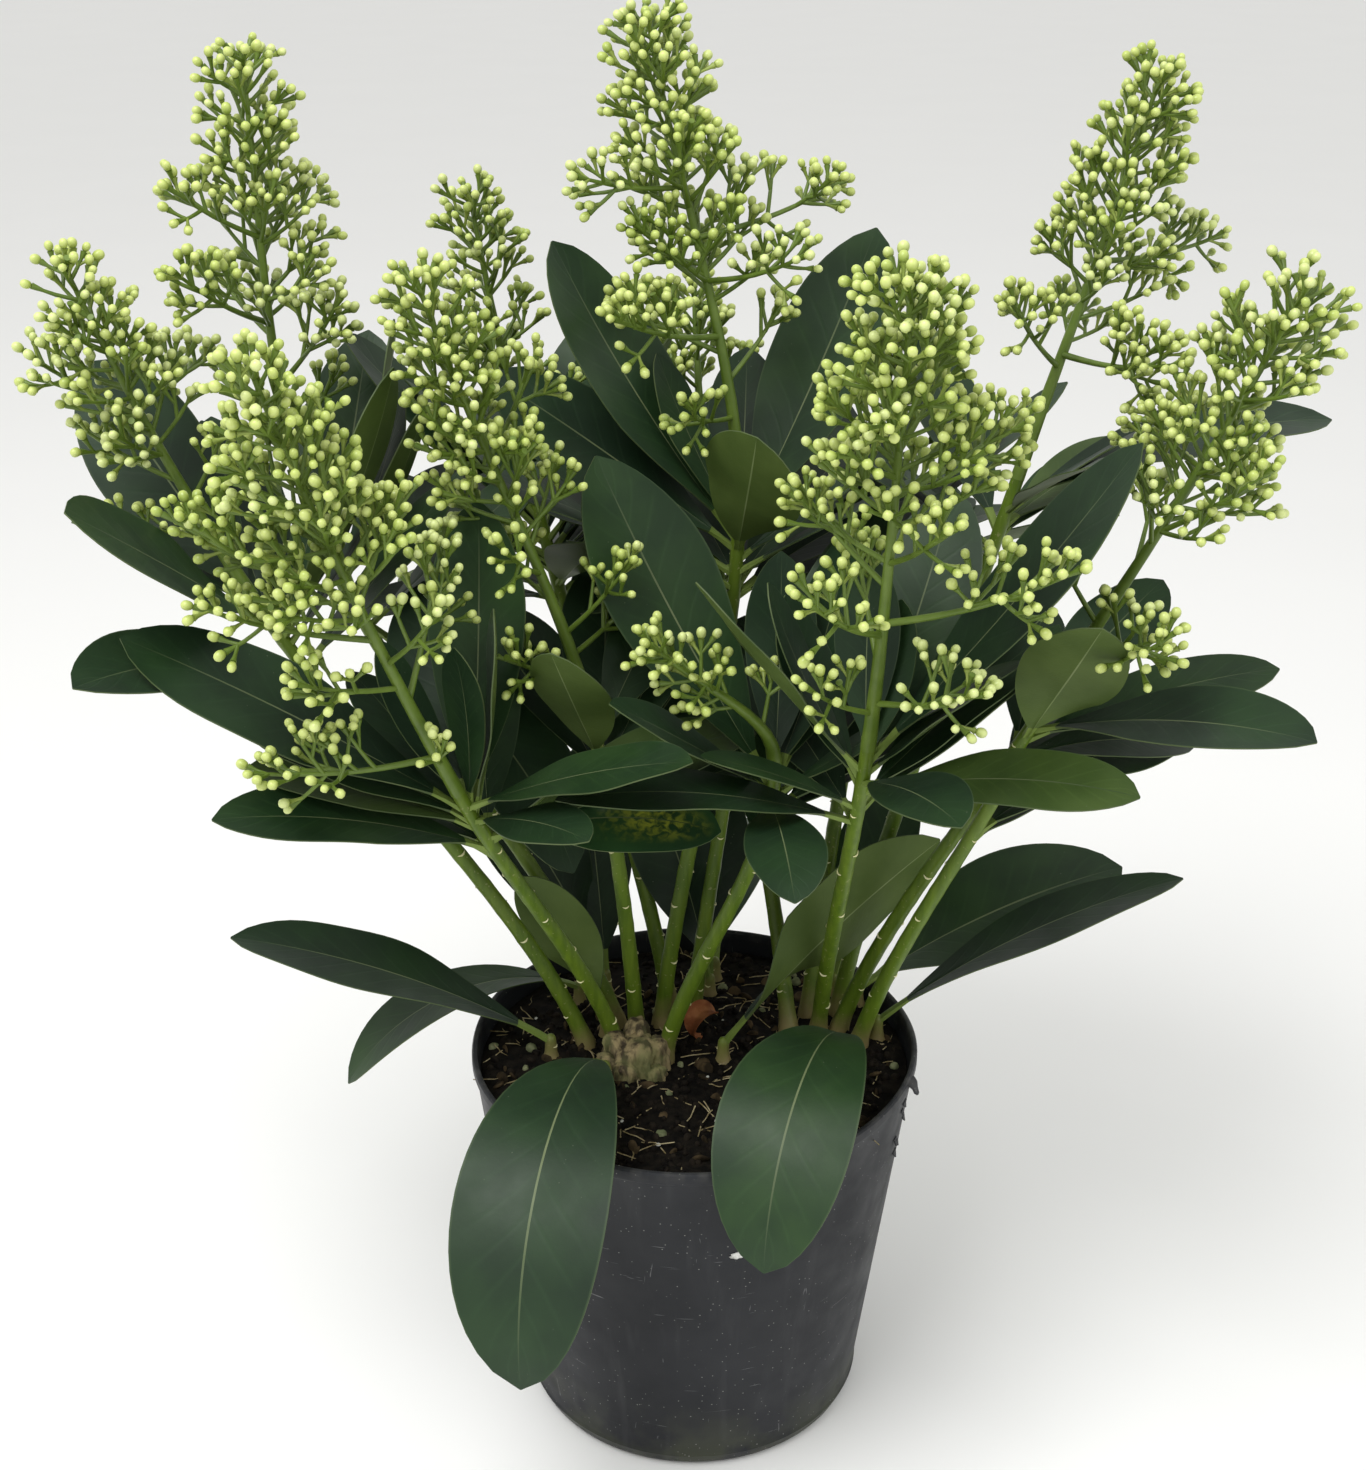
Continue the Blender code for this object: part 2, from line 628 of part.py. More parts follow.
def fuse(stem, shapes, look, collection):
    """Joins shapes onto a stem by one Boolean union on their collection."""
    helpers = bpy.data.collections.new(stem.name + "_pieces")
    bpy.context.scene.collection.children.link(helpers)
    for number, (rings, tip) in enumerate(shapes):
        mesh = mesh_of(f"{stem.name}_{number}", *loft(rings, tip))
        helpers.objects.link(bpy.data.objects.new(mesh.name, mesh))
    union = stem.modifiers.new("union", "BOOLEAN")
    union.operation = "UNION"
    union.operand_type = "COLLECTION"
    union.collection = helpers
    union.solver = "EXACT"
    bpy.context.view_layer.update()
    graph = bpy.context.evaluated_depsgraph_get()
    mesh = bpy.data.meshes.new_from_object(stem.evaluated_get(graph))
    one_body(mesh)
    name, old = stem.name, stem.data
    bpy.data.objects.remove(stem)
    bpy.data.meshes.remove(old)
    for helper in list(helpers.objects):
        data = helper.data
        bpy.data.objects.remove(helper)
        bpy.data.meshes.remove(data)
    bpy.data.collections.remove(helpers)
    return add_object(name, mesh, look, collection)


def turned(name, profile, look, collection):
    """A solid of revolution from a profile of (radius, height) that runs down its outer side."""
    mesh = bpy.data.meshes.new(name)
    points = [(r * MM, 0, z * MM) for r, z in profile]
    mesh.from_pydata(points, [(i, i + 1) for i in range(len(points) - 1)], [])
    made = add_object(name, mesh, look, collection)
    screw = made.modifiers.new("turn", "SCREW")
    screw.steps = screw.render_steps = SEGMENTS
    screw.use_merge_vertices = True
    screw.merge_threshold = 0.00001
    return made


def build_pot(collection, cutters, look):
    lip_low = POT_HEIGHT - LIP_DEPTH

    def outer(z):
        top = POT_TOP_RADIUS - LIP_BULGE
        return POT_BASE_RADIUS + (top - POT_BASE_RADIUS) * z / lip_low

    profile = [
        (0, POT_FLOOR),
        (outer(0) - 5.0, POT_FLOOR),
        (outer(0) - 1.8, POT_FLOOR + 3.0),
        (outer(lip_low) - POT_WALL, lip_low),
        (POT_TOP_RADIUS - 2.6, lip_low + 1.2),
        (POT_TOP_RADIUS - 2.6, POT_HEIGHT - 0.7),
        (POT_TOP_RADIUS - 1.9, POT_HEIGHT),
        (POT_TOP_RADIUS - 0.8, POT_HEIGHT),
        (POT_TOP_RADIUS, POT_HEIGHT - 0.9),
        (POT_TOP_RADIUS, lip_low + 0.9),
        (POT_TOP_RADIUS - 0.6, lip_low),
        (outer(lip_low), lip_low - 0.2),
        (outer(RIDGE_HEIGHT + 1), RIDGE_HEIGHT + 1.0),
        (outer(RIDGE_HEIGHT) + 0.5, RIDGE_HEIGHT),
        (outer(2.4) - 0.4, 2.4),
        (outer(0) - 2.2, 0),
        (0, 0),
    ]
    pot = turned("pot", profile, look, collection)
    for number in range(DRAIN_COUNT):
        angle = 2 * math.pi * (number + 0.5) / DRAIN_COUNT
        shape = bmesh.new()
        bmesh.ops.create_cone(
            shape, cap_ends=True, segments=12, radius1=DRAIN_RADIUS * MM, radius2=DRAIN_RADIUS * MM,
            depth=8 * MM,
        )
        mesh = bpy.data.meshes.new(f"drain_{number}")
        shape.to_mesh(mesh)
        shape.free()
        cutter = bpy.data.objects.new(mesh.name, mesh)
        cutter.location = (DRAIN_CIRCLE * MM * math.cos(angle), DRAIN_CIRCLE * MM * math.sin(angle), 0)
        cutter.hide_render = True
        cutter.display_type = "WIRE"
        cutters.objects.link(cutter)
    cut = pot.modifiers.new("drainage", "BOOLEAN")
    cut.operation = "DIFFERENCE"
    cut.operand_type = "COLLECTION"
    cut.collection = cutters
    return pot


def build_soil(collection, look):
    lip_low = POT_HEIGHT - LIP_DEPTH
    top = POT_TOP_RADIUS - LIP_BULGE
    slope = (top - POT_BASE_RADIUS) / lip_low
    inner = [(z, POT_BASE_RADIUS + slope * z - POT_WALL - GAP - 0.1) for z in (5.0, SOIL_TOP)]
    floor = POT_FLOOR + GAP
    profile = [(0, SOIL_TOP), (inner[1][1], SOIL_TOP), (inner[0][1] - 0.9, inner[0][0])]
    profile += [(inner[0][1] - 4.6, floor), (0, floor)]
    return turned("compost", profile, look, collection)


def build_stump(collection, look):
    """The low woody crown that shows between the stems at the front."""
    shape = bmesh.new()
    bmesh.ops.create_cone(shape, cap_ends=True, segments=10, radius1=6.2 * MM, radius2=4.4 * MM, depth=9 * MM)
    mesh = bpy.data.meshes.new("stump")
    shape.to_mesh(mesh)
    shape.free()
    made = add_object("stump", mesh, look, collection)
    made.location = (-18 * MM, -12 * MM, (SOIL_TOP + GAP + 4.5) * MM)
    return made


def main():
    for old in list(bpy.data.objects):
        bpy.data.objects.remove(old)
    scene = bpy.context.scene
    parts = bpy.data.collections.new("potted_skimmia")
    cutters = bpy.data.collections.new("cutters")
    for made in (parts, cutters):
        scene.collection.children.link(made)

    plastic = material("charcoal plastic", (0.036, 0.038, 0.042), 0.42)
    peat = material("dark peat", (0.018, 0.014, 0.010), 0.95)
    bark = material("tan bark", (0.26, 0.19, 0.10), 0.85)
    green_stem = material("green stem", (0.105, 0.19, 0.028), 0.5)
    leaf_look = material("dark glossy leaf", (0.012, 0.042, 0.018), 0.35, 0.3)
    bud_look = material("pale green bud", (0.52, 0.64, 0.20), 0.5)

    build_pot(parts, cutters, plastic)
    build_soil(parts, peat)
    build_stump(parts, bark)

    panicles, masses, lows = plan_plant()
    for name in SHOOTS:
        line, leaves = stem_line(name), masses[name]
        leafy = line.length - LEAFY_LENGTH
        tube(
            "stem_" + name, line, 0, leafy, STEM_FOOT_RADIUS, STEM_TOP_RADIUS + 0.2, 6,
            green_stem, parts, level=True,
        )
        short = tube(
            "leaves_" + name, line, leafy + GAP, line.length, STEM_TOP_RADIUS + 0.1,
            STEM_TOP_RADIUS - 0.3, 4, leaf_look, parts,
        )
        fuse(as_mesh(short, parts), [leaf_shape(leaf) for leaf in leaves], leaf_look, parts)
    for name, (line, sprays) in panicles.items():
        axis = tube(
            "blossom_" + name, line, 0, line.length - END_SPRAY + 1, RACHIS_RADIUS, RACHIS_TIP_RADIUS, 6,
            bud_look, parts, sides=0,
        )
        fuse(as_mesh(axis, parts), [spindle_shape(*spray) for spray in sprays], bud_look, parts)
    for name, leaf in lows.items():
        shape = bmesh.new()
        bmesh.ops.create_cone(
            shape, cap_ends=True, segments=6, radius1=3.0 * MM, radius2=2.2 * MM, depth=9 * MM
        )
        mesh = bpy.data.meshes.new(name)
        shape.to_mesh(mesh)
        shape.free()
        for point in mesh.vertices:
            point.co += Vector((leaf[0].x * MM, leaf[0].y * MM, (SOIL_TOP + GAP + 4.5) * MM))
        stub = add_object(name, mesh, leaf_look, parts)
        fuse(stub, [leaf_shape(leaf)], leaf_look, parts)


main()
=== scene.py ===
"""The finished look of a potted skimmia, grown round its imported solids.

Green limbs, leathery leaves, open panicles of round buds, peaty compost and a charcoal
nursery pot. The plan of the plant is worked out in mm and the meshes are made in metres.
"""

import math
import random

import bmesh
import bpy
from mathutils import Matrix, Vector, noise
from mathutils.bvhtree import BVHTree


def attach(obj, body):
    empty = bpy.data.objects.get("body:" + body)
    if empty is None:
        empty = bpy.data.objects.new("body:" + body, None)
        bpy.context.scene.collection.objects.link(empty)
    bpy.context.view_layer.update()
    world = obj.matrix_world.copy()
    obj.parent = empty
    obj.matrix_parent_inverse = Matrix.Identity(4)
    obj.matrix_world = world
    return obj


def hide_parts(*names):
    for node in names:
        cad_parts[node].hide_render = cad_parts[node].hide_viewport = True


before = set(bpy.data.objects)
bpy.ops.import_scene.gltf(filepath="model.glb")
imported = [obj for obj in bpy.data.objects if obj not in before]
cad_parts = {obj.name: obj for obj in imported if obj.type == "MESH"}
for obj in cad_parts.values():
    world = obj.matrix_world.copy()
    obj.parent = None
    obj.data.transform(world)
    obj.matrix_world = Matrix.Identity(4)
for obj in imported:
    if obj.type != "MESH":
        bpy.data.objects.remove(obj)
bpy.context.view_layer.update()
scene = bpy.context.scene

MM = 0.001
WELD = 0.000001  # metres within which a piece's own points are one
GAP = 0.3  # mm, kept between pieces that touch
GOLDEN = 137.5  # degrees round the stem from one leaf or branch to the next
UPWARD = Vector((0, 0, 1))

# Pot, mm
POT_HEIGHT = 133.8
POT_TOP_RADIUS = 75.0
POT_BASE_RADIUS = 57.3
POT_WALL = 1.2
POT_FLOOR = 1.6
LIP_DEPTH = 4.6
LIP_BULGE = 1.4
RIDGE_HEIGHT = 5.2
DRAIN_COUNT = 8
DRAIN_RADIUS = 4.5
DRAIN_CIRCLE = 46.0

# Compost, mm
SOIL_TOP = 126.0

# Stems, mm
STEM_FOOT_RADIUS = 2.9
STEM_TOP_RADIUS = 2.45
SPREAD = 172.0  # how far from the pot's axis a leaf of the spiral may reach
LEAFY_LENGTH = 42.0  # the leafy end of each stem
RACHIS_RADIUS = 1.9

# Leaves, mm
LEAF_WIDTH = 0.33  # of the length
LEAF_THICK = 1.15
BEND_BY_RISE = (36.0, -0.85)  # degrees that a level leaf bends, and more for each degree of rise
LEAST_BEND, GREATEST_BEND = -18.0, 48.0
PETIOLE_RADIUS = 1.5
BEND_POWER = 1.3  # how late a leaf of the masses bends
# Leaves down a spiral: mm below the top of the shoot and degrees from the stem, each at the first
# leaf and how much more by the last, and the range of lengths. The lesser one has its own count.
SPIRAL = ((9, 26), (40, 46), (78, 100))
LESSER_COUNT, LESSER_SPIRAL = 9, ((6, 28), (34, 50), (44, 84))
LEAF_OUTLINE = ((0.0, 0.0), (0.12, 0.10), (0.38, 0.78), (0.64, 1.0), (0.86, 0.74))

# Blossom, mm
BRANCH_RADIUS = 0.75
SIDE_HEAD = 0.92  # a side spray's head beside the others
SHORTENED = (1.0, 0.86, 0.74, 0.6)  # shares of a branch's length, tried until it fits
FIRST_BRANCH, BRANCH_SPAN = 0.2, 0.76  # shares of the axis
BRANCH_OPENING = (62, -34)  # degrees from the axis at its foot, and how much more by its tip
NEAR_BRANCH = 16  # up the axis, within which two branches of like heading are one
SIDE_OPENING = 46  # degrees from a branch to its side sprays
END_SPRAY = 15.0  # the last spray, on the tip of the axis
SIDE_SPRAYS = ((0.76, 22), (0.58, 32), (0.42, 50))  # share of a branch, from a length
HEAD_RADIUS = 6.4
HEAD_LENGTH = 12.5
SHORTEST_SPRAY = 11
HEAD_OVERLAP = 3.0  # how far neighbouring heads of one panicle may run into each other

# Each shoot: foot on the compost, top of the leafy stem, tip of the blossom (None where
# the shoot is leafy only), the number of leaves, branches of the panicle and its reach.
SHOOTS = {
    "front_left": ((-25, 3), (-70, -42, 247), (-111, -85, 387), 11, 15, 44),
    "far_left": ((-36, 6), (-136, 5, 291), (-177, -8, 396), 9, 12, 28),
    "back_left": ((-26, 20), (-119, 38, 297), (-131, 36, 448), 9, 14, 34),
    "mid_left": ((-19, 12), (-32, -5, 254), (-77, -20, 394), 9, 14, 34),
    "rear_left": ((-8, 31), (-53, 75, 298), (-72, 82, 401), 10, 9, 26),
    "centre": ((0, 24), (14, 34, 232), None, 9, 0, 0),
    "back_centre": ((-11, 20), (14, 28, 309), (-14, 38, 457), 10, 16, 40),
    "rear_mid": ((33, 17), (5, 105, 292), (0, 128, 360), 10, 8, 28),
    "front_mid": ((-10, -1), (24, -25, 249), (-14, -44, 296), 9, 5, 16),
    "front_right": ((43, 15), (50, -45, 263), (53, -78, 406), 10, 16, 46),
    "rear_right": ((40, 26), (68, 98, 290), (78, 118, 362), 10, 8, 28),
    "back_right": ((50, 26), (104, 48, 315), (139, 52, 441), 10, 15, 36),
    "far_right": ((50, 16), (107, -15, 264), (165, -30, 394), 9, 14, 34),
    "low_right": ((56, 7), (94, -22, 240), None, 7, 0, 0),
}

# The leaves that show best, by shoot: mm below the top of the leafy stem, azimuth and rise of
# the leaf's chord in degrees, length in mm, width as a share of the length, and roll in degrees.
# The rest follow the spiral rule.
LEAVES = {
    "front_left": ((10, -176, 31, 112, 0.36, -16), (28, -162, 16, 86, 0.34, -12),
                   (18, -178, 16, 72, 0.34, -8), (8, -22, 20, 76, 0.35, 8), (22, -2, 3, 72, 0.35, 14),
                   (14, -50, 15, 58, 0.35, 12), (8, 103, 34, 84, 0.38, -14), (18, 36, 24, 92, 0.33, 6)),
    "far_left": ((14, -122, 38, 95, 0.38, -24), (26, -126, 22, 88, 0.36, -18), (8, 147, 46, 96, 0.35, -12)),
    "back_left": ((9, 84, 46, 86, 0.35, 12), (14, 50, 15, 76, 0.35, 12), (30, -28, -42, 110, 0.35, 12)),
    "mid_left": ((9, -118, 60, 68, 0.36, -8), (10, 62, 36, 74, 0.35, 12)),
    "front_mid": ((10, 155, 58, 114, 0.34, -26), (13, -155, 32, 66, 0.35, -12), (18, -86, -2, 60, 0.4, 0)),
    "back_centre": ((12, 175, 35, 94, 0.35, -26), (9, 162, 60, 108, 0.36, -18), (9, 46, 56, 108, 0.36, 8),
                    (12, -83, 50, 62, 0.35, 12), (20, 158, 15, 78, 0.35, -12)),
    "front_right": ((8, 5, 45, 120, 0.31, 8), (12, 58, 55, 90, 0.35, 12), (16, -70, 14, 66, 0.35, 12),
                    (20, -27, 10, 84, 0.34, 14)),
    "far_right": ((9, -63, 58, 74, 0.4, -24), (12, -41, 13, 92, 0.34, 14), (17, -3, 18, 80, 0.35, 12),
                  (12, 44, 25, 74, 0.35, 12)),
    "low_right": ((8, 19, 7, 68, 0.36, 14),),
    "back_right": ((9, 8, 13, 108, 0.32, 10), (12, -70, 30, 60, 0.35, 12), (18, 35, 16, 68, 0.35, 12)),
}

# Branches of the panicles that reach out furthest, by shoot: mm above the foot of the panicle,
# azimuth, rise, length.
BRANCHES = {
    "front_left": ((14, -150, 8, 58), (42, -128, 20, 42), (60, -171, 15, 52), (75, 175, 24, 58),
                   (12, -85, 28, 26), (36, 75, 50, 56)),
    "far_left": ((62, -172, 34, 40), (40, -172, 34, 36), (66, 70, 10, 44)),
    "back_left": ((70, -112, 28, 54), (50, -24, 50, 42), (96, -140, 32, 36), (100, 60, 10, 34)),
    "mid_left": ((14, -127, 28, 40), (22, 55, 18, 44), (90, 70, 33, 46)),
    "back_centre": ((55, -125, 16, 58), (30, -118, 14, 34), (85, 28, 14, 56), (72, -48, 18, 46),
                    (100, -142, 10, 42)),
    "front_right": ((40, -120, 28, 54), (12, -130, 30, 40), (44, -36, 26, 66), (16, -52, 22, 48),
                    (84, 31, 22, 52)),
    "back_right": ((40, -66, 10, 62), (70, 28, 4, 52), (36, -124, 36, 48)),
    "far_right": ((62, -48, 38, 46), (26, -78, 16, 52), (84, 100, 8, 46)),
}

STUB = UPWARD * 6.5  # mm from the compost to a low leaf's foot

# Low leaves on short stubs at the compost: name, foot, azimuth, rise at the stalk and at the
# tip, how late the bend comes, length, width, roll, in mm and degrees.
LOW_LEAVES = (
    ("low_leaf_front_left", (-29, -16), -104, 48, -92, 0.95, 146, 47, 0),
    ("low_leaf_front_right", (51, -6), -110, 60, -88, 0.95, 124, 43, 0),
    ("low_leaf_left", (-48, 0), -178, 34, 12, 1.0, 112, 29, -8),
    ("low_leaf_rear_left", (-40, 34), -157, 32, -60, 1.0, 96, 26, 0),
    ("low_leaf_right", (63, 12), -1, 42, 18, 1.0, 114, 27, 0),
    ("low_leaf_rear_right", (58, 33), 14, 32, 8, 1.0, 104, 36, 0),
    ("low_leaf_middle", (10, -2), 18, 48, 34, 1.0, 100, 30, -60),
    ("low_leaf_back", (8, 50), 84, 30, -22, 1.2, 96, 36, 0),
)

# Leaves that stand up from the compost among the feet of the stems, in the same values.
STANDING_LEAVES = (
    ("low_leaf_tall_left", (-31, 42), 178, 70, 56, 1.0, 100, 34, -60),
    ("low_leaf_olive", (-30, 12.5), 180, 72, 58, 1.0, 62, 24, 78),
    ("low_leaf_tall_middle", (6, 39), 95, 82, 62, 1.0, 82, 30, 0),
    ("low_leaf_tall_right", (50, 40), 38, 74, 60, 1.0, 78, 27, 30),
)

# A leaf that would touch something is turned, lifted or set lower on its stem, in this order.
NOTICED_SHIFTS = ((0, 0, 0), (0, 4, 0), (0, -4, 0), (4, 0, 0), (-4, 0, 0), (0, -8, 2), (0, 8, 0),
                  (8, 0, 2), (-8, 0, 2), (8, -8, 3), (-8, -8, 3), (8, 8, 0), (-8, 8, 0), (13, 0, 4),
                  (-13, 0, 4), (0, -14, 6), (16, -10, 6), (-16, -10, 6), (0, 14, 0))
SPIRAL_SHIFTS = NOTICED_SHIFTS + ((22, 0, 0), (-22, 0, 0), (28, -12, 4), (-28, -12, 4))


def unit(vector):
    return vector.normalized()


def run(pair, share):
    """A value that starts at the first of a pair and grows by the second."""
    return pair[0] + pair[1] * share


def ground_point(place):
    return Vector((place[0], place[1], SOIL_TOP + GAP))


def heading(azimuth, rise):
    """The direction with this azimuth from +X and this rise above the level, in degrees."""
    a, r = math.radians(azimuth), math.radians(rise)
    return Vector((math.cos(a) * math.cos(r), math.sin(a) * math.cos(r), math.sin(r)))


def heading_of(direction):
    azimuth = math.degrees(math.atan2(direction.y, direction.x))
    return azimuth, math.degrees(math.asin(max(-1.0, min(1.0, direction.z))))


class Line:
    """A cubic curve from its four control points, followed by arc length."""

    def __init__(self, p0, p1, p2, p3, steps=60):
        self.points = []
        for i in range(steps + 1):
            t = i / steps
            s = 1.0 - t
            point = p0 * s**3 + p1 * (3 * s * s * t) + p2 * (3 * s * t * t) + p3 * t**3
            self.points.append(point)
        self.lengths = [0.0]
        for a, b in zip(self.points, self.points[1:]):
            self.lengths.append(self.lengths[-1] + (b - a).length)
        self.length = self.lengths[-1]

    def at(self, distance):
        distance = max(0.0, min(self.length, distance))
        i = 1
        while i < len(self.lengths) - 1 and self.lengths[i] < distance:
            i += 1
        a, b = self.points[i - 1], self.points[i]
        share = (distance - self.lengths[i - 1]) / (self.lengths[i] - self.lengths[i - 1])
        return a.lerp(b, share), unit(b - a)


def stem_line(name):
    """The stem from the compost to the top of its leafy end."""
    foot, collar, tip = SHOOTS[name][:3]
    start, end = ground_point(foot), Vector(collar)
    chord = unit(end - start)
    reach = (end - start).length
    finish = chord if tip is None else unit(chord + 0.6 * unit(Vector(tip) - end))
    rise = unit(0.4 * UPWARD + 0.6 * chord)
    return Line(start, start + rise * reach * 0.3, end - finish * reach * 0.32, end)


def rachis_line(name):
    """The panicle's axis, on from the end of the stem."""
    stem = stem_line(name)
    start, finish = stem.at(stem.length)
    tip = Vector(SHOOTS[name][2])
    chord = tip - start
    start = start + finish * GAP
    end_run = unit(unit(chord) + UPWARD * 0.25)
    reach = chord.length
    return Line(start, start + finish * reach * 0.3, tip - end_run * reach * 0.3, tip)


def around(axis, turn, opening):
    """The direction that opens by an angle from an axis, at a turn round it, in degrees."""
    first = unit(Vector((1, 0, 0)) - axis * axis.x)
    second = axis.cross(first)
    t, o = math.radians(turn), math.radians(opening)
    return axis * math.cos(o) + (first * math.cos(t) + second * math.sin(t)) * math.sin(o)


def leaf_frames(base, azimuth, start, end, power, length, stations, steps=24):
    """Points, directions and upper normals along a leaf that bends from start to end rise."""
    side = Vector((-math.sin(math.radians(azimuth)), math.cos(math.radians(azimuth)), 0))
    frames, point, here = [], base.copy(), 0
    for i in range(steps + 1):
        share = i / steps
        direction = heading(azimuth, start + (end - start) * share**power)
        while here < len(stations) and stations[here] <= share + 1e-6:
            frames.append((point.copy(), direction, direction.cross(side)))
            here += 1
        point = point + direction * (length / steps)
    while here < len(stations):
        frames.append((point - direction * (length / steps), direction, direction.cross(side)))
        here += 1
    return side, frames


def leaf_shape(leaf, extra=0.0, start_share=0.0):
    """Corner points of a thin blade on its short stalk: rings of three and a tip."""
    base, azimuth, start, end, power, length, width, roll = leaf[:8]
    stations = [s for s, _ in LEAF_OUTLINE] + [1.0]
    side, frames = leaf_frames(base, azimuth, start, end, power, length, stations)
    rings = []
    for (share, wide), (point, direction, normal) in zip(LEAF_OUTLINE, frames):
        if share < start_share:
            continue
        turn = Matrix.Rotation(math.radians(roll) * min(1.0, share * 2.2), 3, direction)
        across, up = turn @ side, turn @ normal
        half = max(PETIOLE_RADIUS, wide * width / 2) + extra
        deep = (PETIOLE_RADIUS if share < 0.2 else LEAF_THICK) + extra
        ring = [point + across * half, point - across * half, point - up * deep]
        if extra:
            ring = [ring[0], point + up * extra, ring[1], ring[2]]
        rings.append(ring)
    point, direction, _ = frames[-1]
    return rings, point + direction * extra


def ring_round(centre, direction, radius, sides):
    """Corner points of a ring that lies square to a direction."""
    first = direction.orthogonal().normalized()
    second = direction.cross(first)
    corners = [2 * math.pi * k / sides for k in range(sides)]
    return [centre + (first * math.cos(c) + second * math.sin(c)) * radius for c in corners]


def spray_shape(base, direction, length, head, extra=0.0, start_share=0.0):
    """A thin stalk that swells to a head of buds and closes: rings of three and a tip."""
    neck = max(0.35, 1.0 - HEAD_LENGTH / length)
    profile = ((0.0, BRANCH_RADIUS * 0.6), (neck, BRANCH_RADIUS), (1.0 - 0.42 * (1.0 - neck), head))
    rings = [ring_round(base + direction * (length * share), direction, size + extra, 3)
             for share, size in profile if share >= start_share]
    return rings, base + direction * (length + extra)


def tube_rings(line, start, end, start_radius, end_radius, count):
    rings = []
    for i in range(count):
        share = i / (count - 1)
        point, direction = line.at(start + (end - start) * share)
        rings.append(ring_round(point, direction, start_radius + (end_radius - start_radius) * share, 6))
    return rings, line.at(end)[0]


def loft(rings, tip):
    """Points and faces of a closed loft through rings to one tip, its first ring capped."""
    points = [p for ring in rings for p in ring] + [tip]
    n = len(rings[0])
    faces = [tuple(range(n))]
    for r in range(len(rings) - 1):
        for k in range(n):
            a, b = r * n + k, r * n + (k + 1) % n
            faces.append((a, a + n, b + n, b))
    last = (len(rings) - 1) * n
    faces += [(last + k, len(points) - 1, last + (k + 1) % n) for k in range(n)]
    return points, faces


def box_of(points):
    """The lowest and the highest corner round some points."""
    return [[limit(point[i] for point in points) for i in range(3)] for limit in (min, max)]


class Space:
    """What already stands in the plant, to keep each new piece clear of it."""

    def __init__(self):
        self.items = []

    def add(self, owner, kind, rings, tip):
        points, faces = loft(rings, tip)
        self.items.append((owner, kind, *box_of(points), BVHTree.FromPolygons(points, faces)))

    def clear(self, owner, full, outer):
        """True where a piece crosses nothing of another owner, and its outer part nothing else.

        A piece is sunk in its owner's limb, so near its foot it may meet its own neighbours.
        """
        for shape, own in ((full, False), (outer, True)):
            points, faces = loft(*shape)
            low, high = box_of(points)
            tree = BVHTree.FromPolygons(points, faces)
            for other_owner, kind, other_low, other_high, other in self.items:
                if (other_owner == owner) != own or kind == ("full" if own else "outer"):
                    continue
                if any(low[i] > other_high[i] or high[i] < other_low[i] for i in range(3)):
                    continue
                if tree.overlap(other):
                    return False
        return True


def place_spray(space, owner, sprays, spray):
    """Adds one spray to the panicle where it fits."""
    *way, head = spray
    core = (*way, head - HEAD_OVERLAP)
    if not space.clear(owner, spray_shape(*spray, 0.6), spray_shape(*core, 0.2, 0.3)):
        return False
    sprays.append(spray)
    space.add(owner, "full", *spray_shape(*spray, 0.1))
    space.add(owner, "outer", *spray_shape(*core, 0.1, 0.4))
    return True


def branch_rows(name, line, rng):
    """A panicle's branches: long and apart low down, short and close at the top."""
    count, reach = SHOOTS[name][4:6]
    rows = [(up, heading(azimuth, rise), length) for up, azimuth, rise, length in BRANCHES.get(name, ())]
    turn = rng.uniform(0, 360)
    for i in range(count):
        share = FIRST_BRANCH + BRANCH_SPAN * (i / count) ** 0.85
        up = share * line.length
        direction = around(line.at(up)[1], turn + GOLDEN * i, run(BRANCH_OPENING, share))
        length = reach * (1.02 - share) ** 0.7 * rng.uniform(0.85, 1.1) + 7
        if not any(abs(up - u) < NEAR_BRANCH and direction.dot(d) > 0.75 for u, d, _ in rows):
            rows.append((up, direction, length))
    return rows


def plan_panicle(name, space, rng):
    line = rachis_line(name)
    owner = "blossom_" + name
    sprays = [(*line.at(line.length - END_SPRAY), END_SPRAY, HEAD_RADIUS)]
    space.add(owner, "full", *spray_shape(*sprays[0], 0.1))
    for up, direction, whole in branch_rows(name, line, rng):
        base = line.at(up)[0]
        for length in [whole * share for share in SHORTENED]:
            spray = (base, direction, length, HEAD_RADIUS)
            if length > SHORTEST_SPRAY and place_spray(space, owner, sprays, spray):
                break
        else:
            continue
        # Side sprays open from the outer part of a long branch.
        for k, (spot, least) in enumerate(SIDE_SPRAYS):
            if length >= least:
                side = around(direction, (-1) ** k * 90 + rng.uniform(-35, 35), SIDE_OPENING)
                stalk = 10 + 0.25 * length * (1 - spot)
                spray = (base + direction * (length * spot), side, stalk, HEAD_RADIUS * SIDE_HEAD)
                place_spray(space, owner, sprays, spray)
    return line, sprays


def down_spiral(name, rng, count, drops, openings, lengths):
    """Two rounds down the spiral of a shoot, steep at its top and level lower down."""
    line, turn = stem_line(name), rng.uniform(0, 360)
    for k in range(2 * count):
        share = (k % count) / count
        drop = run(drops, share)
        foot, axis = line.at(line.length - drop)
        azimuth, rise = heading_of(around(axis, turn + GOLDEN * k, run(openings, share)))
        yield share, foot, (drop, azimuth, rise, rng.uniform(*lengths))


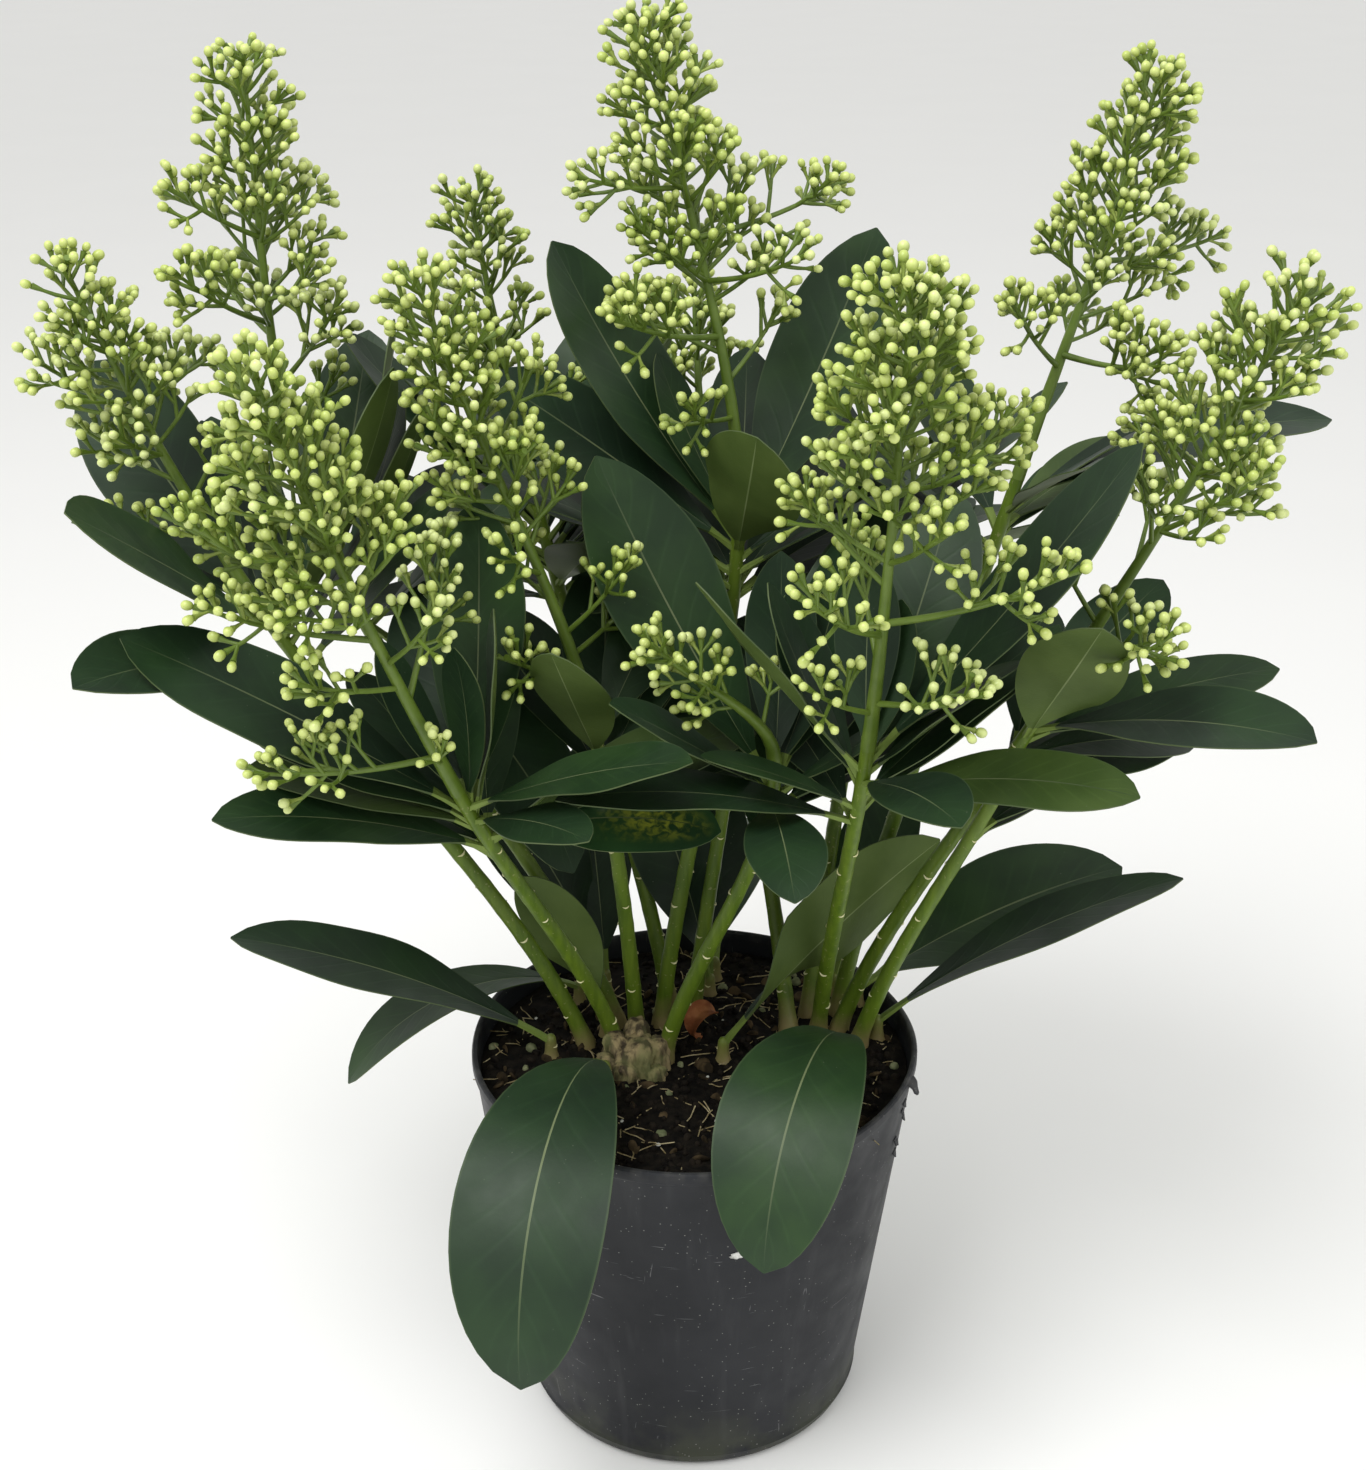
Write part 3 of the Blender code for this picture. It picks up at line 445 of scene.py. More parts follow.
def spiral_rows(name, rng):
    """A shoot's own leaves within reach. Those that point to the front stay on rear shoots alone."""
    line, rows = stem_line(name), []
    for share, _, (drop, azimuth, rise, length) in down_spiral(name, rng, SHOOTS[name][3], *SPIRAL):
        length *= 1 - 0.12 * abs(share - 0.4)
        way = heading(azimuth, rise)
        away = line.at(line.length)[0] + way * length
        if away.xy.length <= SPREAD and (name.startswith("rear") or way.y > -0.25):
            rows.append((drop, azimuth, rise, length))
    return rows


def leaf_fits(space, owner, leaf, room=0.7):
    """True where a leaf has room, counting its neighbours on the same stem only past its foot."""
    return space.clear(owner, leaf_shape(leaf, room), leaf_shape(leaf, 0.5, 0.3))


def plan_leaves(name, space, rows, leaves, shifts, rng):
    """Adds each row's leaf to the shoot, turned or lowered a little where it would touch."""
    line = stem_line(name)
    owner = "leaves_" + name
    apart = shifts is SPIRAL_SHIFTS
    for drop, azimuth, rise, length, *own in rows:
        if apart and len(leaves) >= SHOOTS[name][3]:
            break
        way = heading(azimuth, rise)
        if apart and any(abs(leaf[8] - drop) < 12 and leaf[9].dot(way) > 0.86 for leaf in leaves):
            continue
        width = length * LEAF_WIDTH * rng.uniform(0.92, 1.08)
        roll = rng.uniform(-16, 16)
        if own:
            width, roll = length * own[0], own[1]
        for turn_by, lift, lower in shifts:
            lean = rise + lift
            bend = max(LEAST_BEND, min(GREATEST_BEND, run(BEND_BY_RISE, lean)))
            start = lean + bend / (BEND_POWER + 1)
            base = line.at(line.length - drop - lower)[0]
            leaf = (base, azimuth + turn_by, start, start - bend, BEND_POWER, length, width, roll)
            if leaf_fits(space, owner, leaf):
                leaves.append((*leaf, drop, heading(azimuth + turn_by, lean)))
                space.add(owner, "full", *leaf_shape(leaf, 0.3))
                space.add(owner, "outer", *leaf_shape(leaf, 0.3, 0.1))
                break


def plan_limbs(space):
    """Keeps the room of the pot, the stems and the panicles' axes."""
    corners = [math.radians(15 * k) for k in range(24)]
    wall = [[Vector((r * math.cos(a), r * math.sin(a), z)) for a in corners] for r, z in (
        (POT_BASE_RADIUS, 0.0), (POT_TOP_RADIUS + 0.6, POT_HEIGHT + 1.0),
        (POT_TOP_RADIUS - 3.5, POT_HEIGHT + 1.0), (POT_TOP_RADIUS - 4, SOIL_TOP + 0.6))]
    space.add("pot", "limb", wall, Vector((0, 0, SOIL_TOP + 0.1)))
    for name in SHOOTS:
        line = stem_line(name)
        leafy = line.length - LEAFY_LENGTH
        limbs = [("stem_", line, 1.5, leafy, STEM_FOOT_RADIUS + 0.4, STEM_TOP_RADIUS + 0.5, 8),
                 ("leaves_", line, leafy, line.length, STEM_TOP_RADIUS + 0.4, STEM_TOP_RADIUS, 5)]
        if SHOOTS[name][2]:
            rachis = rachis_line(name)
            limbs.append(("blossom_", rachis, 0, rachis.length - END_SPRAY, RACHIS_RADIUS + 0.4, 1.2, 8))
        for owner, *tube in limbs:
            space.add(owner + name, "limb", *tube_rings(*tube))


def plan_plant():
    """Where every stem, panicle branch and leaf stands, in mm."""
    space = Space()
    plan_limbs(space)
    panicles, masses, lows = {}, {name: [] for name in SHOOTS}, {}
    for number, name in enumerate(SHOOTS):
        if SHOOTS[name][2]:
            panicles[name] = plan_panicle(name, space, random.Random(100 + number))
    for name, foot, *shape in LOW_LEAVES:
        lows[name] = (ground_point(foot) + STUB, *shape)
        space.add(name, "full", *leaf_shape(lows[name], 0.5))
    for number, (name, leaves) in enumerate(masses.items()):
        plan_leaves(name, space, LEAVES.get(name, ()), leaves, NOTICED_SHIFTS, random.Random(200 + number))
    for number, (name, leaves) in enumerate(masses.items()):
        rng = random.Random(300 + number)
        plan_leaves(name, space, spiral_rows(name, rng), leaves, SPIRAL_SHIFTS, rng)
    for name, foot, azimuth, start, end, power, length, width, roll in STANDING_LEAVES:
        for turn_by, lift, shorter in NOTICED_SHIFTS:
            leaf = (ground_point(foot) + STUB, azimuth + turn_by, start + lift, end + lift, power,
                    length - 2 * shorter, width, roll)
            if leaf_fits(space, name, leaf):
                lows[name] = leaf
                space.add(name, "full", *leaf_shape(leaf, 0.3))
                break
    return panicles, masses, lows, space


# Node trees


class Wire:
    """A value in a node tree: the usual signs add the node that works them out."""

    def __init__(self, tree, socket):
        self.tree, self.socket = tree, socket

    def __getitem__(self, key):
        """Another result of the same node."""
        return Wire(self.tree, self.socket.node.outputs[key])

    def __add__(self, other):
        return self.tree.maths("ADD", self, other)

    def __sub__(self, other):
        return self.tree.maths("SUBTRACT", self, other)

    def __rsub__(self, other):
        return self.tree.maths("SUBTRACT", other, self)

    def __mul__(self, other):
        return self.tree.maths("MULTIPLY", self, other)

    def __pow__(self, other):
        return self.tree.maths("POWER", self, other)

    def __abs__(self):
        return self.tree.maths("ABSOLUTE", self)

    def __gt__(self, other):
        return self.tree.node("Compare", self, other, operation="GREATER_THAN")

    def __lt__(self, other):
        return self.tree.node("Compare", other, self, operation="GREATER_THAN")


class Tree:
    """A node tree that plain calls fill."""

    def __init__(self, tree):
        self.tree = tree

    def node(self, kind, *inputs, **named):
        """A node's first result: capitals name its inputs, small letters its settings."""
        families = ("GeometryNode", "ShaderNode", "FunctionNode")
        made = self.tree.nodes.new(next(f + kind for f in families if hasattr(bpy.types, f + kind)))
        for key in [key for key in named if key[0].islower()]:
            setattr(made, key, named.pop(key))
        for key, value in [*enumerate(inputs), *named.items()]:
            self.lead(value, made.inputs[key if isinstance(key, int) else key.replace("_", " ")])
        return Wire(self, made.outputs[0])

    def lead(self, value, socket):
        """Leads a wire into a socket, or sets the socket's own value."""
        if isinstance(value, Wire):
            self.tree.links.new(value.socket, socket)
        elif value is not None:
            socket.default_value = (*value, 1.0) if socket.type == "RGBA" else value

    def maths(self, operation, *values):
        return self.node("Math", *values, operation=operation)


# Finishes


class Finish(Tree):
    """One Principled material, with short words for the patterns that give it detail."""

    def __init__(self, name, colour, roughness, specular=0.5):
        self.material = bpy.data.materials.new(name)
        self.material.use_nodes = True
        super().__init__(self.material.node_tree)
        self.surface = self.tree.nodes["Principled BSDF"].inputs
        self.paint(colour)
        self.gloss(roughness)
        self.lead(specular, self.surface["Specular IOR Level"])
        self.place = self.node("TexCoord")["Object"]

    def drawn(self, stretch):
        return self.node("Mapping", Vector=self.place, Scale=stretch) if stretch else self.place

    def noise(self, scale, detail=3.0, stretch=None, distortion=0.0):
        return self.node("TexNoise", Vector=self.drawn(stretch), Scale=scale, Detail=detail,
                         Distortion=distortion)["Fac"]

    def cells(self, scale):
        return self.node("TexVoronoi", Vector=self.place, Scale=scale)["Distance"]

    def ramp(self, value, low, high, start=0.0, end=1.0):
        """The value's run from low to high, turned into a run from start to end."""
        return self.node("MapRange", value, low, high, start, end)

    def patches(self, scale, low, high, start=0.0, end=1.0, **pattern):
        return self.ramp(self.noise(scale, **pattern), low, high, start, end)

    def trait(self, name):
        return self.node("Attribute", attribute_name=name)["Fac"]

    def height(self):
        return self.node("SeparateXYZ", self.place)["Z"]

    def mix(self, factor, first, second):
        blend = self.node("Mix", factor, data_type="RGBA")
        for number, colour in ((6, first), (7, second)):
            self.lead(colour, blend.socket.node.inputs[number])
        return blend[2]

    def paint(self, colour):
        self.lead(colour, self.surface["Base Color"])

    def gloss(self, value):
        self.lead(value, self.surface["Roughness"])

    def bump(self, height, depth, strength):
        normal = self.node("Bump", Height=height, Distance=depth, Strength=strength)
        self.lead(normal, self.surface["Normal"])


def leaf_upper(name, dark, light):
    """Leathery upper side: mottled green, faint side veins, a fine grain and a soft gloss."""
    made = Finish(name, dark, 0.38, 0.36)
    across = abs(made.trait("across"))
    slant = across**0.8 * 2.1
    vein = abs(made.maths("FRACT", made.trait("along") * 12.0 - slant) - 0.5)
    fade = made.ramp(vein, 0.0, 0.14, 1.0, 0.0) * made.ramp(across, 0.55, 0.9, 1.0, 0.0)
    colour = made.mix(made.patches(38.0, 0.36, 0.66, detail=4.0), dark, light)
    colour = made.mix(fade * 0.10, colour, tuple(1.9 * c + 0.008 for c in light))
    colour = made.mix(made.ramp(across, 0.965, 0.99, 0.0, 0.35), colour, (0.08, 0.12, 0.05))
    dust = made.ramp(made.cells(300.0), 0.04, 0.075, 1.0, 0.0) * made.patches(25.0, 0.5, 0.62)
    made.paint(made.mix(dust * 0.5, colour, (0.16, 0.19, 0.13)))
    made.gloss(made.patches(70.0, 0.3, 0.7, 0.46, 0.58))
    made.bump(made.noise(900.0, 2.0) * 0.4 - fade * 0.5, 0.00015, 0.4)
    return made.material


def leaf_mottled():
    """The one leaf that shows pale yellow mottling beside its midrib."""
    made = Finish("leaf_mottled_upper", (0.014, 0.045, 0.015), 0.38)
    near = made.ramp(abs(made.trait("across")), 0.15, 0.75, 1.0, 0.0)
    middle = made.ramp(abs(made.trait("along") - 0.72), 0.05, 0.26, 1.0, 0.0)
    share = near * middle * made.patches(420.0, 0.42, 0.62, detail=5.0, distortion=0.6)
    body = made.mix(made.patches(45.0, 0.36, 0.66, detail=4.0), (0.011, 0.036, 0.013), (0.022, 0.066, 0.02))
    made.paint(made.mix(share, body, (0.30, 0.33, 0.035)))
    made.bump(made.noise(900.0, 2.0), 0.0001, 0.4)
    return made.material


def leaf_under(name, colour, pale):
    made = Finish(name, colour, 0.55, 0.22)
    made.paint(made.mix(made.patches(55.0, 0.34, 0.68, detail=4.0), colour, pale))
    made.bump(made.noise(1100.0, 2.0), 0.00012, 0.5)
    return made.material


def leaf_vein():
    """The midrib seen from above: pale near the stalk, sunk into the leaf's own green by the tip."""
    made = Finish("leaf_upper_midrib", (0.12, 0.155, 0.07), 0.5, 0.35)
    pale = made.mix(made.noise(160.0), (0.105, 0.14, 0.055), (0.17, 0.20, 0.105))
    made.paint(made.mix(made.ramp(made.trait("along"), 0.5, 0.97), pale, (0.018, 0.042, 0.015)))
    made.bump(made.noise(1100.0, 2.0), 0.0001, 0.4)
    return made.material


def simple_green(name, colour, pale, roughness, scale):
    """A green or woody skin with soft patches and a fine grain."""
    made = Finish(name, colour, roughness)
    made.paint(made.mix(made.patches(scale, 0.35, 0.68, detail=4.0), colour, pale))
    made.gloss(made.patches(scale * 2.3, 0.3, 0.7, roughness - 0.06, roughness + 0.08))
    made.bump(made.noise(900.0), 0.00012, 0.5)
    return made.material


def bud_skin_with_painted_highlight(name, green, pale):
    """A bud's smooth skin with painted highlight and shade: green at its foot and palest at its tip."""
    made = Finish(name, green, 0.32)
    # Painted highlight and shade: the run from the green foot to the pale tip stands in for light falling on
    # each bud.
    tip = made.ramp(made.trait("along"), -0.9, 0.75)
    made.paint(made.mix(tip + made.patches(420.0, 0.35, 0.68, -0.15, 0.15), green, pale))
    made.bump(made.noise(900.0), 0.00008, 0.4)
    return made.material


def stem_skin():
    """Bright green bark with long darker streaks, corky specks and a tan foot."""
    made = Finish("stem_green_skin", (0.10, 0.20, 0.03), 0.46, 0.36)
    streak = made.patches(420.0, 0.38, 0.64, stretch=(1.0, 1.0, 0.09))
    green = made.mix(streak, (0.066, 0.120, 0.006), (0.110, 0.180, 0.011))
    green = made.mix(made.patches(46.0, 0.35, 0.7) * 0.4, green, (0.145, 0.200, 0.022))
    green = made.mix(made.patches(780.0, 0.66, 0.72, detail=2.0) * 0.5, green, (0.34, 0.33, 0.15))
    height = made.height() + made.noise(120.0) * 0.012
    foot = made.ramp(height, (SOIL_TOP + 7.0) * MM, (SOIL_TOP + 18.0) * MM, 1.0, 0.0)
    made.paint(made.mix(foot, green, (0.25, 0.20, 0.085)))
    made.bump(made.noise(520.0, 4.0, (1.0, 1.0, 0.15)), 0.00018, 0.4)
    return made.material


def bark_skin():
    made = Finish("crown_tan_bark", (0.30, 0.22, 0.12), 0.85)
    flake = made.patches(420.0, 0.42, 0.60, detail=6.0, stretch=(1.0, 1.0, 0.22))
    colour = made.mix(flake, (0.048, 0.034, 0.016), (0.30, 0.235, 0.115))
    made.paint(made.mix(made.patches(90.0, 0.46, 0.6, 0.0, 0.6, detail=2.0), colour, (0.15, 0.17, 0.055)))
    made.bump(made.noise(520.0, 5.0), 0.0008, 0.7)
    return made.material


def pot_plastic():
    """Thin charcoal plastic: fine grain, dust specks, hair scratches and a green tint low down."""
    made = Finish("pot_charcoal_plastic", (0.014, 0.015, 0.018), 0.5, 0.20)
    height = made.height()
    low = made.ramp(height, 0.004, 0.030, 1.0, 0.0) * made.patches(60.0, 0.4, 0.62, detail=4.0)
    scratch = made.patches(210.0, 0.725, 0.76, 0.0, 0.7, detail=2.0, stretch=(0.25, 0.25, 5.0),
                           distortion=0.7)
    specks = made.ramp(made.cells(430.0), 0.06, 0.11, 1.0, 0.0)
    cloud = made.patches(16.0, 0.35, 0.7, detail=5.0)
    colour = made.mix(cloud, (0.0105, 0.0115, 0.014), (0.021, 0.0225, 0.026))
    layers = (
        (made.patches(150.0, 0.56, 0.75, 0.0, 0.35, detail=4.0, stretch=(1.0, 1.0, 0.06)),
         (0.052, 0.053, 0.056)),
        (low * 0.55, (0.060, 0.066, 0.038)),
        (scratch, (0.17, 0.17, 0.175)),
        (made.patches(260.0, 0.73, 0.765, 0.0, 0.6, detail=2.0, stretch=(2.2, 2.2, 0.12), distortion=1.2),
         (0.16, 0.16, 0.165)),
        (specks * made.patches(40.0, 0.38, 0.52) * 0.8, (0.26, 0.26, 0.245)),
        (made.ramp(height, 0.1295, 0.1335) * made.patches(190.0, 0.42, 0.66, 0.0, 0.55, detail=4.0),
         (0.075, 0.073, 0.068)),
    )
    for share, over in layers:
        colour = made.mix(share, colour, over)
    made.paint(colour)
    made.gloss(made.patches(90.0, 0.3, 0.7, 0.42, 0.58, detail=4.0))
    made.bump(made.noise(1500.0, 2.0) * 0.4 + scratch, 0.00006, 0.6)
    return made.material


def peat(name, dark, light, scale=260.0, roughness=0.9):
    made = Finish(name, dark, roughness, 0.10)
    made.paint(made.mix(made.patches(scale, 0.40, 0.68, detail=6.0), dark, light))
    made.bump(made.noise(scale * 1.7, 5.0), 0.0006, 0.8)
    return made.material


def plain_floor():
    made = Finish("pale_floor", (0.90, 0.90, 0.89), 0.85)
    made.paint(made.mix(made.noise(6.0, 2.0), (0.89, 0.89, 0.88), (0.91, 0.91, 0.90)))
    return made.material


FINISHES = {
    "skin": stem_skin(),
    "scar": simple_green("scar_pale_cork", (0.70, 0.68, 0.34), (0.84, 0.80, 0.50), 0.6, 300.0),
    "stalk": simple_green("stalk_green", (0.088, 0.145, 0.013), (0.135, 0.205, 0.026), 0.45, 120.0),
    "pedicel": simple_green("pedicel_green", (0.195, 0.260, 0.040), (0.275, 0.345, 0.072), 0.45, 160.0),
    # The second colour of each bud is its painted highlight at the tip.
    "bud_0": bud_skin_with_painted_highlight("bud_pale_green", (0.31, 0.39, 0.065), (0.57, 0.65, 0.205)),
    "bud_1": bud_skin_with_painted_highlight("bud_fresh_green", (0.24, 0.33, 0.048), (0.48, 0.57, 0.145)),
    "bud_2": bud_skin_with_painted_highlight("bud_cream_green", (0.36, 0.44, 0.095), (0.63, 0.705, 0.28)),
    "cup": simple_green("bud_green_cup", (0.23, 0.30, 0.055), (0.31, 0.38, 0.09), 0.5, 420.0),
    "upper_0": leaf_upper("leaf_dark_upper", (0.006, 0.020, 0.007), (0.013, 0.037, 0.011)),
    "upper_1": leaf_upper("leaf_green_upper", (0.009, 0.029, 0.008), (0.020, 0.052, 0.012)),
    "upper_2": leaf_upper("leaf_olive_upper", (0.034, 0.064, 0.012), (0.054, 0.092, 0.018)),
    "upper_3": leaf_mottled(),
    "under": leaf_under("leaf_olive_underside", (0.066, 0.104, 0.022), (0.096, 0.142, 0.034)),
    "rib": leaf_under("leaf_pale_midrib", (0.15, 0.20, 0.07), (0.23, 0.28, 0.12)),
    "vein": leaf_vein(),
    "petiole": leaf_under("leaf_green_stalk", (0.13, 0.19, 0.035), (0.19, 0.26, 0.060)),
    "margin": leaf_under("leaf_pale_margin", (0.055, 0.085, 0.030), (0.095, 0.125, 0.050)),
    "bark": bark_skin(),
    "plastic": pot_plastic(),
    "peat": peat("compost_black_peat", (0.004, 0.0035, 0.003), (0.014, 0.011, 0.008)),
    "crumb": peat("compost_dark_crumb", (0.005, 0.004, 0.0035), (0.022, 0.017, 0.012)),
    "chip": peat("compost_bark_chip", (0.022, 0.016, 0.009), (0.095, 0.066, 0.034), 180.0),
    "fibre": peat("compost_pale_fibre", (0.22, 0.17, 0.08), (0.50, 0.43, 0.26), 300.0),
    "lump": peat("compost_green_lump", (0.13, 0.15, 0.075), (0.24, 0.25, 0.14), 320.0),
    "white": peat("compost_white_grit", (0.50, 0.50, 0.46), (0.75, 0.75, 0.70), 400.0),
    "dry": peat("dry_leaf_curl", (0.20, 0.065, 0.025), (0.36, 0.15, 0.06), 200.0, 0.7),
    "scuff": peat("pot_white_scuff", (0.40, 0.40, 0.38), (0.78, 0.78, 0.75), 500.0),
}
BLADE_FINISHES = ("upper_0", "upper_1", "upper_2", "upper_3", "under", "rib", "vein", "margin", "petiole")


# Growing rules: Geometry Nodes trees with named sizes


class Rule(Tree):
    """A Geometry Nodes tree with named inputs for its sizes and finishes."""

    def __init__(self, name, **sizes):
        super().__init__(bpy.data.node_groups.new(name, "GeometryNodeTree"))
        face = self.tree.interface
        face.new_socket("Plan", in_out="INPUT", socket_type="NodeSocketGeometry")
        for key, value in sizes.items():
            kind = {int: "Int", float: "Float"}.get(type(value), "Material")
            label = key.replace("_", " ").capitalize()
            face.new_socket(label, in_out="INPUT", socket_type="NodeSocket" + kind).default_value = value
        face.new_socket("Shape", in_out="OUTPUT", socket_type="NodeSocketGeometry")
        self.given = dict(zip(("plan", *sizes), self.tree.nodes.new("NodeGroupInput").outputs))

    def __getitem__(self, size):
        """The wire from one of the rule's named inputs."""
        return Wire(self, self.given[size])

    def end(self, shape):
        self.lead(shape, self.tree.nodes.new("NodeGroupOutput").inputs[0])
        return self

    def trait(self, name, kind="FLOAT"):
        return self.node("InputNamedAttribute", name, data_type=kind)

    def arrow(self, name):
        return self.trait(name, "FLOAT_VECTOR")

    def store(self, geometry, name, value):
        return self.node("StoreNamedAttribute", Geometry=geometry, Name=name, Value=value,
                         data_type="FLOAT", domain="POINT")

    def combined(self, operation, first, second):
        return self.node("VectorMath", first, second, operation=operation)

    def scaled(self, vector, size):
        return self.node("VectorMath", vector, Scale=size, operation="SCALE")

    def noise(self, scale, detail=2.0):
        return self.node("TexNoise", Vector=self.node("InputPosition"), Scale=scale, Detail=detail)

    def chance(self, low, high):
        """A random number or vector for each copy, from the rule's own seed."""
        if isinstance(low, tuple):
            return self.node("RandomValue", low, high, Seed=self["seed"], data_type="FLOAT_VECTOR")
        return self.node("RandomValue", None, None, low, high, Seed=self["seed"])[1]

    def joined(self, *shapes):
        join = self.node("JoinGeometry")
        for shape in reversed(shapes):
            self.lead(shape, join.socket.node.inputs[0])
        return join

    def wear(self, geometry, finish, selection=True):
        return self.node("SetMaterial", Geometry=geometry, Selection=selection, Material=finish)

    def smooth(self, geometry):
        return self.node("SetShadeSmooth", Geometry=geometry, Shade_Smooth=True)

    def moved(self, geometry, **where):
        return self.node("SetPosition", Geometry=geometry, **where)

    def rippled(self, geometry, depth, scale, detail=2.0, middle=0.5):
        """Pushes a surface in and out along its normals."""
        lift = (self.noise(scale, detail) - middle) * depth
        return self.moved(geometry, Offset=self.scaled(self.node("InputNormal"), lift))

    def swept(self, rails, sides):
        """Round tubes along rails, as thick as the rail's own radius at each point."""
        ring = self.node("CurvePrimitiveCircle", Resolution=sides, Radius=1.0)
        curve = self.node("MeshToCurve", rails)
        tube = self.node("CurveToMesh", Curve=curve, Profile_Curve=ring, Scale=self.trait("radius"),
                         Fill_Caps=True)
        return self.smooth(tube)

    def strewn(self):
        return self.node("DistributePointsOnFaces", Mesh=self["plan"], Density=self["density"],
                         Seed=self["seed"])

    def planted(self, points, shape, turn, size):
        """A copy of the shape on each point, as real geometry."""
        turn = self.node("EulerToRotation", turn)
        copies = self.node("InstanceOnPoints", Points=points, Instance=shape, Rotation=turn, Scale=size)
        return self.node("RealizeInstances", copies)

    def place(self):
        """A point's own place, as its x, y and z."""
        return self.node("SeparateXYZ", self.node("InputPosition"))


def limb_rule():
    """Stems: a tube with the bark's relief, and a raised pale crescent where each old leaf was."""
    rule = Rule("limb", sides=14, relief=0.00012, relief_scale=420.0, scar_flatness=0.17, scar_smile=0.42,
                skin=None, scar=None)
    scarred = rule.node("SeparateGeometry", rule["plan"], rule.trait("scar"))
    tube = rule.swept(scarred["Inverted"], rule["sides"])
    tube = rule.rippled(tube, rule["relief"], rule["relief_scale"], 3.0)
    # One scar: a flat bead, bent into a smile and wrapped round the stem.
    x, y, z = rule.place()
    square = x * x
    bent = rule.node("CombineXYZ", x, y * 0.22 + square * rule["scar_smile"],
                     z * rule["scar_flatness"] - square * 0.34)
    bead = rule.moved(rule.node("MeshUVSphere", Segments=10, Rings=6, Radius=1.0), Position=bent)
    points = rule.node("MeshToPoints", scarred)
    scars = rule.smooth(rule.planted(points, bead, rule.arrow("turn"), rule.trait("size")))
    return rule.end(rule.joined(rule.wear(tube, rule["skin"]), rule.wear(scars, rule["scar"])))


def stalk_rule():
    """A panicle's axis and branches, and the thin pedicels that widen under the buds."""
    rule = Rule("stalks", branch_sides=9, pedicel_sides=6, knobble=0.00025, knobble_scale=260.0,
                stalk=None, pedicel=None)
    slender = rule.node("SeparateGeometry", rule["plan"], rule.trait("thin"))
    thick = rule.swept(slender["Inverted"], rule["branch_sides"])
    thick = rule.rippled(thick, rule["knobble"], rule["knobble_scale"])
    thin = rule.swept(slender, rule["pedicel_sides"])
    return rule.end(rule.joined(rule.wear(thick, rule["stalk"]), rule.wear(thin, rule["pedicel"])))


def bud_rule():
    """Round buds: four faint lobes, a blunt tip and a green cup, turned along their pedicels."""
    rule = Rule("buds", segments=8, rings=7, lobe_depth=0.04, length=1.22, cup_height=-0.66,
                bud_0=None, bud_1=None, bud_2=None, cup=None)
    ball = rule.node("MeshUVSphere", Segments=rule["segments"], Rings=rule["rings"], Radius=1.0)
    x, y, z = rule.place()
    lobe = rule.maths("COSINE", rule.maths("ARCTAN2", y, x) * 4.0) * rule["lobe_depth"]
    wide = rule.maths("MULTIPLY_ADD", z, 0.09, 1.0) + lobe
    bent = rule.node("CombineXYZ", x * wide, y * wide, z * rule["length"])
    ball = rule.store(rule.store(ball, "cup", rule["cup_height"] > z), "along", z)
    points = rule.node("MeshToPoints", rule["plan"])
    buds = rule.planted(points, rule.moved(ball, Position=bent), rule.arrow("turn"), rule.trait("size"))
    buds = rule.wear(rule.smooth(buds), rule["bud_0"])
    for number in (1, 2):
        buds = rule.wear(buds, rule[f"bud_{number}"], rule.trait("tint") > number - 0.5)
    return rule.end(rule.wear(buds, rule["cup"], rule.trait("cup") > 0.2))


def blade_rule():
    """Leaf blades swept along their midribs: folded, waved, ribbed below, with a real thickness."""
    rule = Rule("blade", columns=11, rib_depth=0.0006, cupping=1.6, **dict.fromkeys(BLADE_FINISHES))
    line = rule.node("CurvePrimitiveLine", Start=(-1.0, 0.0, 0.0), End=(1.0, 0.0, 0.0))
    line = rule.node("ResampleCurve", Curve=line, Count=rule["columns"])
    spot = rule.maths("MULTIPLY_ADD", rule.node("SplineParameter"), 2.0, -1.0)
    line = rule.store(line, "across", rule.maths("SIGN", spot) * abs(spot)**2.6)
    curve = rule.node("MeshToCurve", rule["plan"])
    sheet = rule.node("CurveToMesh", Curve=curve, Profile_Curve=line, Scale=MM, Fill_Caps=False)
    across, half, over = rule.trait("across"), rule.trait("half"), rule.arrow("over")
    apart = abs(across)
    lift = rule.node("Switch", across > 0.0, rule.trait("lift_left"), rule.trait("lift_right"),
                     input_type="FLOAT")
    lift = half * lift * apart**rule["cupping"]
    rib = rule.maths("MAXIMUM", 1.0 - apart * 7.0, 0.0) * rule["rib_depth"] * rule.trait("vigour")
    place = rule.combined("ADD", rule.arrow("spine"), rule.scaled(rule.arrow("side"), half * across))
    place = rule.combined("ADD", place, rule.scaled(over, lift - rib))
    sheet = rule.wear(rule.moved(sheet, Position=place), rule["under"])
    thick = rule.trait("thick") * (1.0 - apart * 0.35) + rib * 0.55
    top = rule.node("ExtrudeMesh", Mesh=sheet, Offset=over, Offset_Scale=thick, Individual=False)
    upper = rule.wear(top, rule["upper_0"])
    for number in (1, 2, 3):
        upper = rule.wear(upper, rule[f"upper_{number}"], rule.trait("tint") > number - 0.5)
    middle = apart < 0.02
    upper = rule.wear(rule.wear(upper, rule["vein"], middle), rule["margin"], top["Side"])
    lower = rule.wear(rule.node("FlipFaces", sheet), rule["rib"], middle)
    blade = rule.node("MergeByDistance", Geometry=rule.joined(upper, lower), Distance=0.000002)
    blade = rule.smooth(rule.wear(blade, rule["petiole"], rule.trait("along") < 0.13))
    crease = rule.node("InputMeshEdgeAngle") > 0.9
    return rule.end(rule.node("SetShadeSmooth", Geometry=blade, Selection=crease, Shade_Smooth=False,
                              domain="EDGE"))


